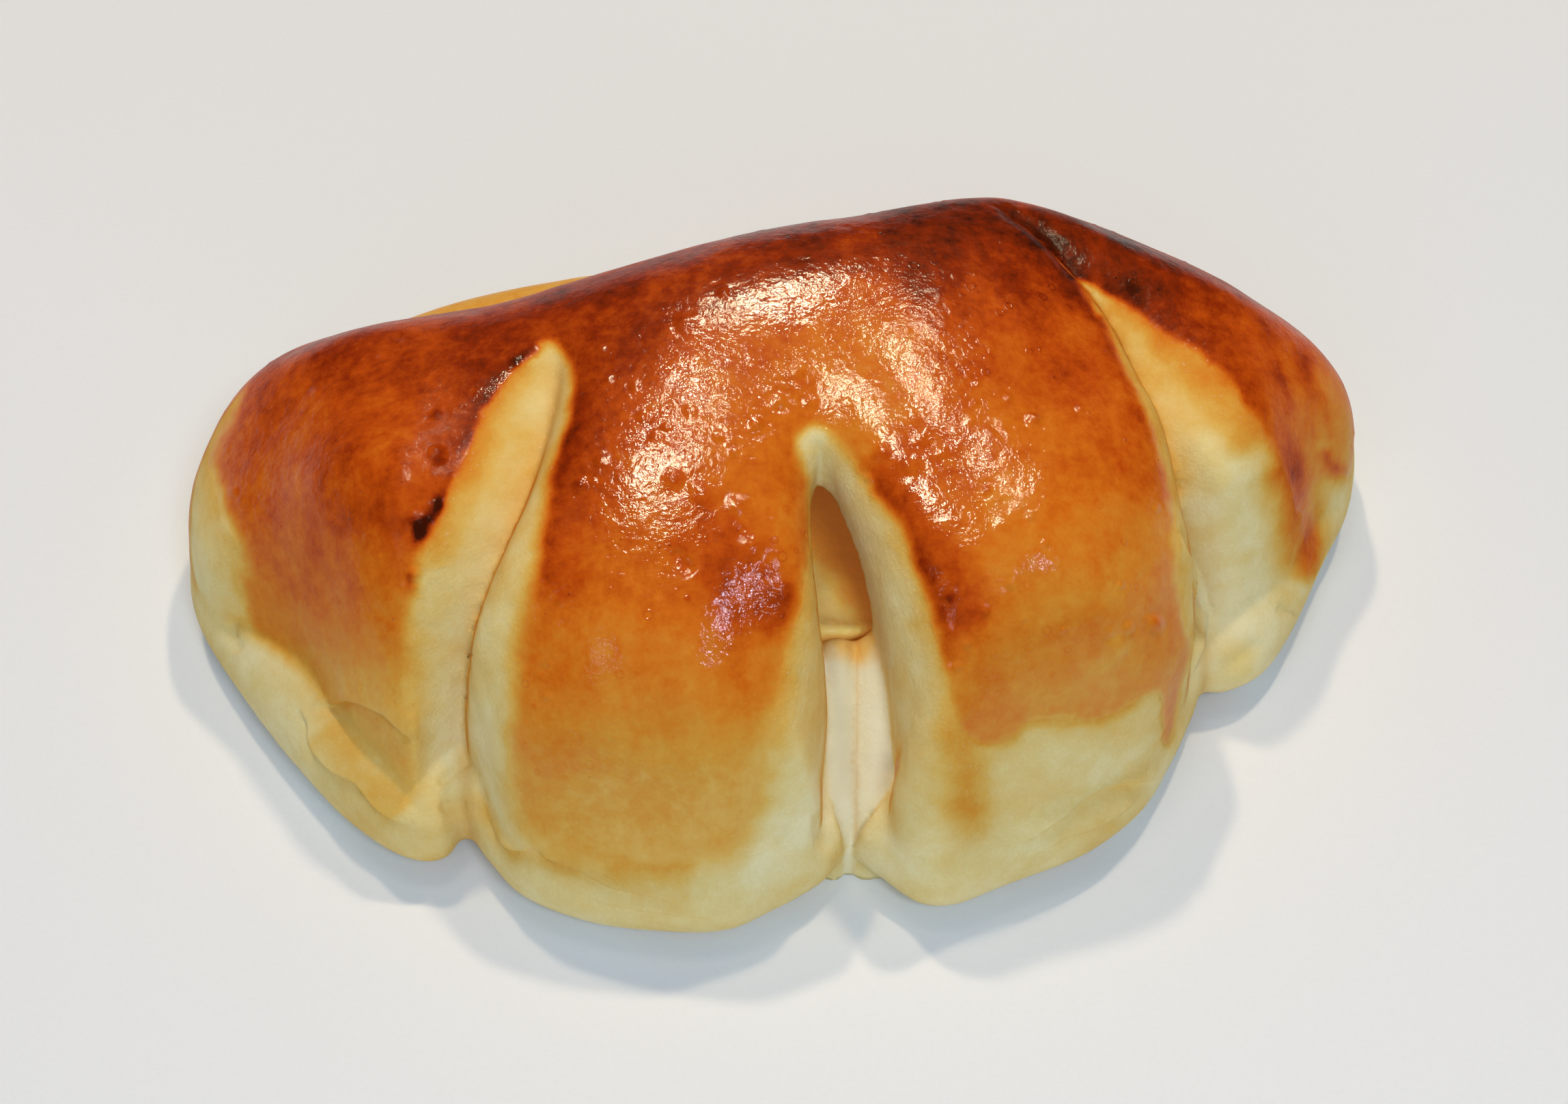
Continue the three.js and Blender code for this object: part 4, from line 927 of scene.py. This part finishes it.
# tiny pale seeds of trapped gas and darker pinpricks in the glaze
pin = g.cells(430)
pin_size = g.math("MULTIPLY_ADD", g.noise(140, 2), 0.16, 0.02)
pin_dot = g.span(pin.outputs["Distance"], 0.0, pin_size, 1.0, 0.0)
pin_pick = g.span(g.noise(95, 2), 0.50, 0.60)
pits = g.math("MULTIPLY", g.math("MULTIPLY", pin_dot, pin_pick), wash_a)
ring_c = g.cells(330, at=g.squash(1.0, 1.0, 1.0, 0.9))
ring = g.span(g.math("ABSOLUTE", g.math("SUBTRACT", ring_c.outputs["Distance"], 0.17)), 0.0, 0.05, 1.0, 0.0)
ring = g.math("MULTIPLY", g.math("MULTIPLY", ring, g.span(g.noise(60, 2), 0.5, 0.6)), wash_a)
b = g.math("MULTIPLY_ADD", pits, 0.10, b)
b = g.math("MULTIPLY_ADD", ring, 0.05, b)
b = g.math("MULTIPLY_ADD", g.attr("burn"), 0.42, b, clamp=True)
col = g.ramp(b, BAKE)
col = g.mix(g.math("MULTIPLY", g.attr("milk"), 0.8), col, g.ramp(patchy, [(0.3, (238, 226, 188)), (0.7, (247, 239, 210))]))
cream_c = g.ramp(patchy, [(0.3, (242, 172, 54)), (0.7, (248, 206, 92))])
col = g.mix(g.math("MULTIPLY", g.attr("cream"), 0.88), col, cream_c)
col = g.mix(g.attr("shade"), col, g.mix(1.0, col, (0.84, 0.62, 0.38), "MULTIPLY"))
# dough grain: pale flecks where flour and skin dried
fleck = g.math("MULTIPLY", g.span(grainy, 0.60, 0.74), g.math("SUBTRACT", 1.0, wash_a))
col = g.mix(g.math("MULTIPLY", fleck, 0.22), col, linear((246, 236, 206)))
g.put(g.bsdf.inputs["Base Color"], col)
gloss = g.span(g.math("MULTIPLY_ADD", g.math("SUBTRACT", fine, 0.5), 0.5, wash_a), 0.32, 0.68)
dry = g.span(g.noise(120, 3), 0.42, 0.66)
g.put(g.bsdf.inputs["Roughness"], g.math("MULTIPLY_ADD", gloss, -0.26, g.span(grainy, 0.2, 0.8, 0.54, 0.66), clamp=True))
g.put(g.bsdf.inputs["Coat Weight"], g.math("MULTIPLY", g.math("MULTIPLY", gloss, g.attr("glaze")), g.math("MULTIPLY_ADD", dry, -0.3, 1.0)))
g.bsdf.inputs["Coat Roughness"].default_value = 0.05
g.bsdf.inputs["Coat IOR"].default_value = 1.36
g.bsdf.inputs["IOR"].default_value = 1.18
g.bsdf.inputs["Specular IOR Level"].default_value = 0.12
g.bsdf.inputs["Subsurface Weight"].default_value = 0.0
g.bsdf.inputs["Subsurface Radius"].default_value = (1.0, 0.55, 0.25)
g.bsdf.inputs["Subsurface Scale"].default_value = 0.0015
# orange peel of the glaze, pits, blister rings; dry grain on bare dough
peel = g.noise(1350, 3, 0.62, warp=0.3)
peel_w = g.noise(520, 2, 0.5)
rise = g.math("MULTIPLY", g.math("MULTIPLY_ADD", peel_w, 1.5, peel), gloss)
rise = g.math("MULTIPLY_ADD", pits, 1.1, rise)
rise = g.math("MULTIPLY_ADD", ring, 0.45, rise)
rise = g.math("MULTIPLY_ADD", g.math("MULTIPLY", g.math("MULTIPLY_ADD", grainy, 0.5, fine), g.math("SUBTRACT", 1.0, gloss)), 2.4, rise)
bumped = g.bump(rise, 0.00008, 0.85)
g.put(g.bsdf.inputs["Normal"], bumped)
g.put(g.bsdf.inputs["Coat Normal"], bumped)

filling = Nodes("Custard")
g = filling
soft_n = g.noise(320, 3, 0.55)
# custard colour runs from painted shadow in deep orange to painted light in pale yellow along the custard's lit share
col = g.ramp(g.math("MULTIPLY_ADD", g.math("SUBTRACT", soft_n, 0.5), 0.5, g.attr("painted_lit_custard")), [(0.0, (252, 154, 46)), (0.45, (253, 178, 66)), (0.75, (254, 212, 100)), (1.0, (254, 228, 136))])
vanilla = g.cells(520)
speck = g.math("MULTIPLY", g.span(vanilla.outputs["Distance"], 0.07, 0.13, 1.0, 0.0), g.span(g.noise(210, 1), 0.60, 0.64))
col = g.mix(speck, col, linear((38, 22, 10)))
g.put(g.bsdf.inputs["Base Color"], col)
g.put(g.bsdf.inputs["Roughness"], g.span(g.noise(800, 3), 0.3, 0.7, 0.20, 0.42))
g.put(g.bsdf.inputs["Coat Weight"], g.span(soft_n, 0.35, 0.65, 0.25, 0.75))
g.bsdf.inputs["Coat Roughness"].default_value = 0.12
# painted light: the custard glows faintly orange, standing in for light that soaks through the thin dough round the
# pocket
g.bsdf.inputs["Emission Color"].default_value = (1.0, 0.50, 0.10, 1)
g.bsdf.inputs["Emission Strength"].default_value = 0.09
g.bsdf.inputs["Subsurface Weight"].default_value = 0.3
g.bsdf.inputs["Subsurface Radius"].default_value = (1.0, 0.6, 0.2)
g.bsdf.inputs["Subsurface Scale"].default_value = 0.003
g.put(g.bsdf.inputs["Normal"], g.bump(g.noise(1200, 3), 0.00012, 0.5, g.bump(soft_n, 0.0004, 0.5)))

bun.data.materials.append(crust.mat)
cream_piece.data.materials.append(filling.mat)

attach(bun, "root")
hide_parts("bun_bread")
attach(cream_piece, "root")
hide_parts("custard_cream")

# ------------------------------------------------------------------ floor, light, camera
me = bpy.data.meshes.new("floor")
R = 3.0
me.from_pydata([(-R, -R, 0), (R, -R, 0), (R, R, 0), (-R, R, 0)], [], [(0, 1, 2, 3)])
floor = bpy.data.objects.new("floor", me)
scene.collection.objects.link(floor)
fm = Nodes("Pale_table")
g = fm
tone = g.noise(3.2, 3, 0.5)
col = g.mix(g.span(tone, 0.3, 0.7), linear((230, 233, 238)), linear((234, 236, 241)))
col = g.mix(g.math("MULTIPLY", g.span(g.noise(1800, 3), 0.45, 0.7), 0.12), col, linear((221, 223, 226)))
g.put(g.bsdf.inputs["Base Color"], col)
g.put(g.bsdf.inputs["Roughness"], g.span(g.noise(600, 3), 0.3, 0.7, 0.5, 0.62))
g.bsdf.inputs["Specular IOR Level"].default_value = 0.0
g.put(g.bsdf.inputs["Normal"], g.bump(g.noise(1400, 4), 0.00006, 0.3))
me.materials.append(fm.mat)

world = bpy.data.worlds.new("soft_room")
scene.world = world
world.use_nodes = True
world.node_tree.nodes["Background"].inputs[0].default_value = (0.66, 0.82, 1.0, 1)
world.node_tree.nodes["Background"].inputs[1].default_value = 0.18
world.cycles_visibility.glossy = False


def lamp(name, azimuth, elevation, far, size, value, colour, size_y=None):
    """A soft box that lights the table by that value: azimuth 0 is behind the camera, + to its right."""
    az, el = math.radians(azimuth - 9), math.radians(elevation)
    L = bpy.data.lights.new(name, "AREA")
    L.shape = "RECTANGLE"
    L.size, L.size_y = size, size_y or size
    L.color = colour
    L.energy = value * math.pi**2 * far * far / math.sin(el)
    o = bpy.data.objects.new(name, L)
    scene.collection.objects.link(o)
    at = Vector((math.sin(az) * math.cos(el), -math.cos(az) * math.cos(el), math.sin(el)))
    target = Vector((0, 0, 0.02))
    o.location = target + at * far
    o.rotation_euler = (-at).to_track_quat("-Z", "Y").to_euler()
    return o


lamp("key_back_left", -156, 62, 1.3, 0.07, 0.25, (1.0, 0.79, 0.53))
lamp("key_back_right", 152, 63, 1.3, 0.07, 0.25, (1.0, 0.79, 0.53))
lamp("overhead", -140, 82, 0.95, 0.20, 0.08, (1.0, 0.90, 0.74), 0.16).visible_glossy = False
lamp("window", 19, 51, 0.9, 0.24, 0.21, (0.76, 0.89, 1.0), 0.11).visible_glossy = False
lamp("sky_fill", -8, 36, 1.2, 1.1, 0.19, (0.66, 0.83, 1.0)).visible_glossy = False
# small bright lamps that only show as glints in the glaze
for k, (az, el, far, wide, tall, value, colour) in enumerate(
    (
        (-173, 43, 1.2, 0.22, 0.08, 0.40, (1.0, 0.93, 0.60)),
        (160, 54, 1.2, 0.12, 0.10, 0.24, (1.0, 0.93, 0.60)),
        (-138, 77, 1.0, 0.13, 0.17, 0.62, (1.0, 0.94, 0.62)),
        (50, 56, 0.9, 0.09, 0.05, 0.11, (0.80, 0.84, 1.0)),
        (-46, 38, 0.9, 0.04, 0.12, 0.018, (0.80, 0.84, 1.0)),
    )
):
    lamp(f"glint_{k}", az, el, far, wide, value, colour, tall).visible_diffuse = False

cam = bpy.data.cameras.new("camera")
cam.lens, cam.sensor_width = 60, 36
cam.clip_start = 0.01
eye = Vector(to_object(EYE[None])[0])
aim = Vector(to_object(AIM[None])[0])
co = bpy.data.objects.new("camera", cam)
scene.collection.objects.link(co)
co.location = eye
co.rotation_euler = (aim - eye).to_track_quat("-Z", "Y").to_euler()
scene.camera = co
scene.view_settings.view_transform = "Standard"
scene.view_settings.look = "None"
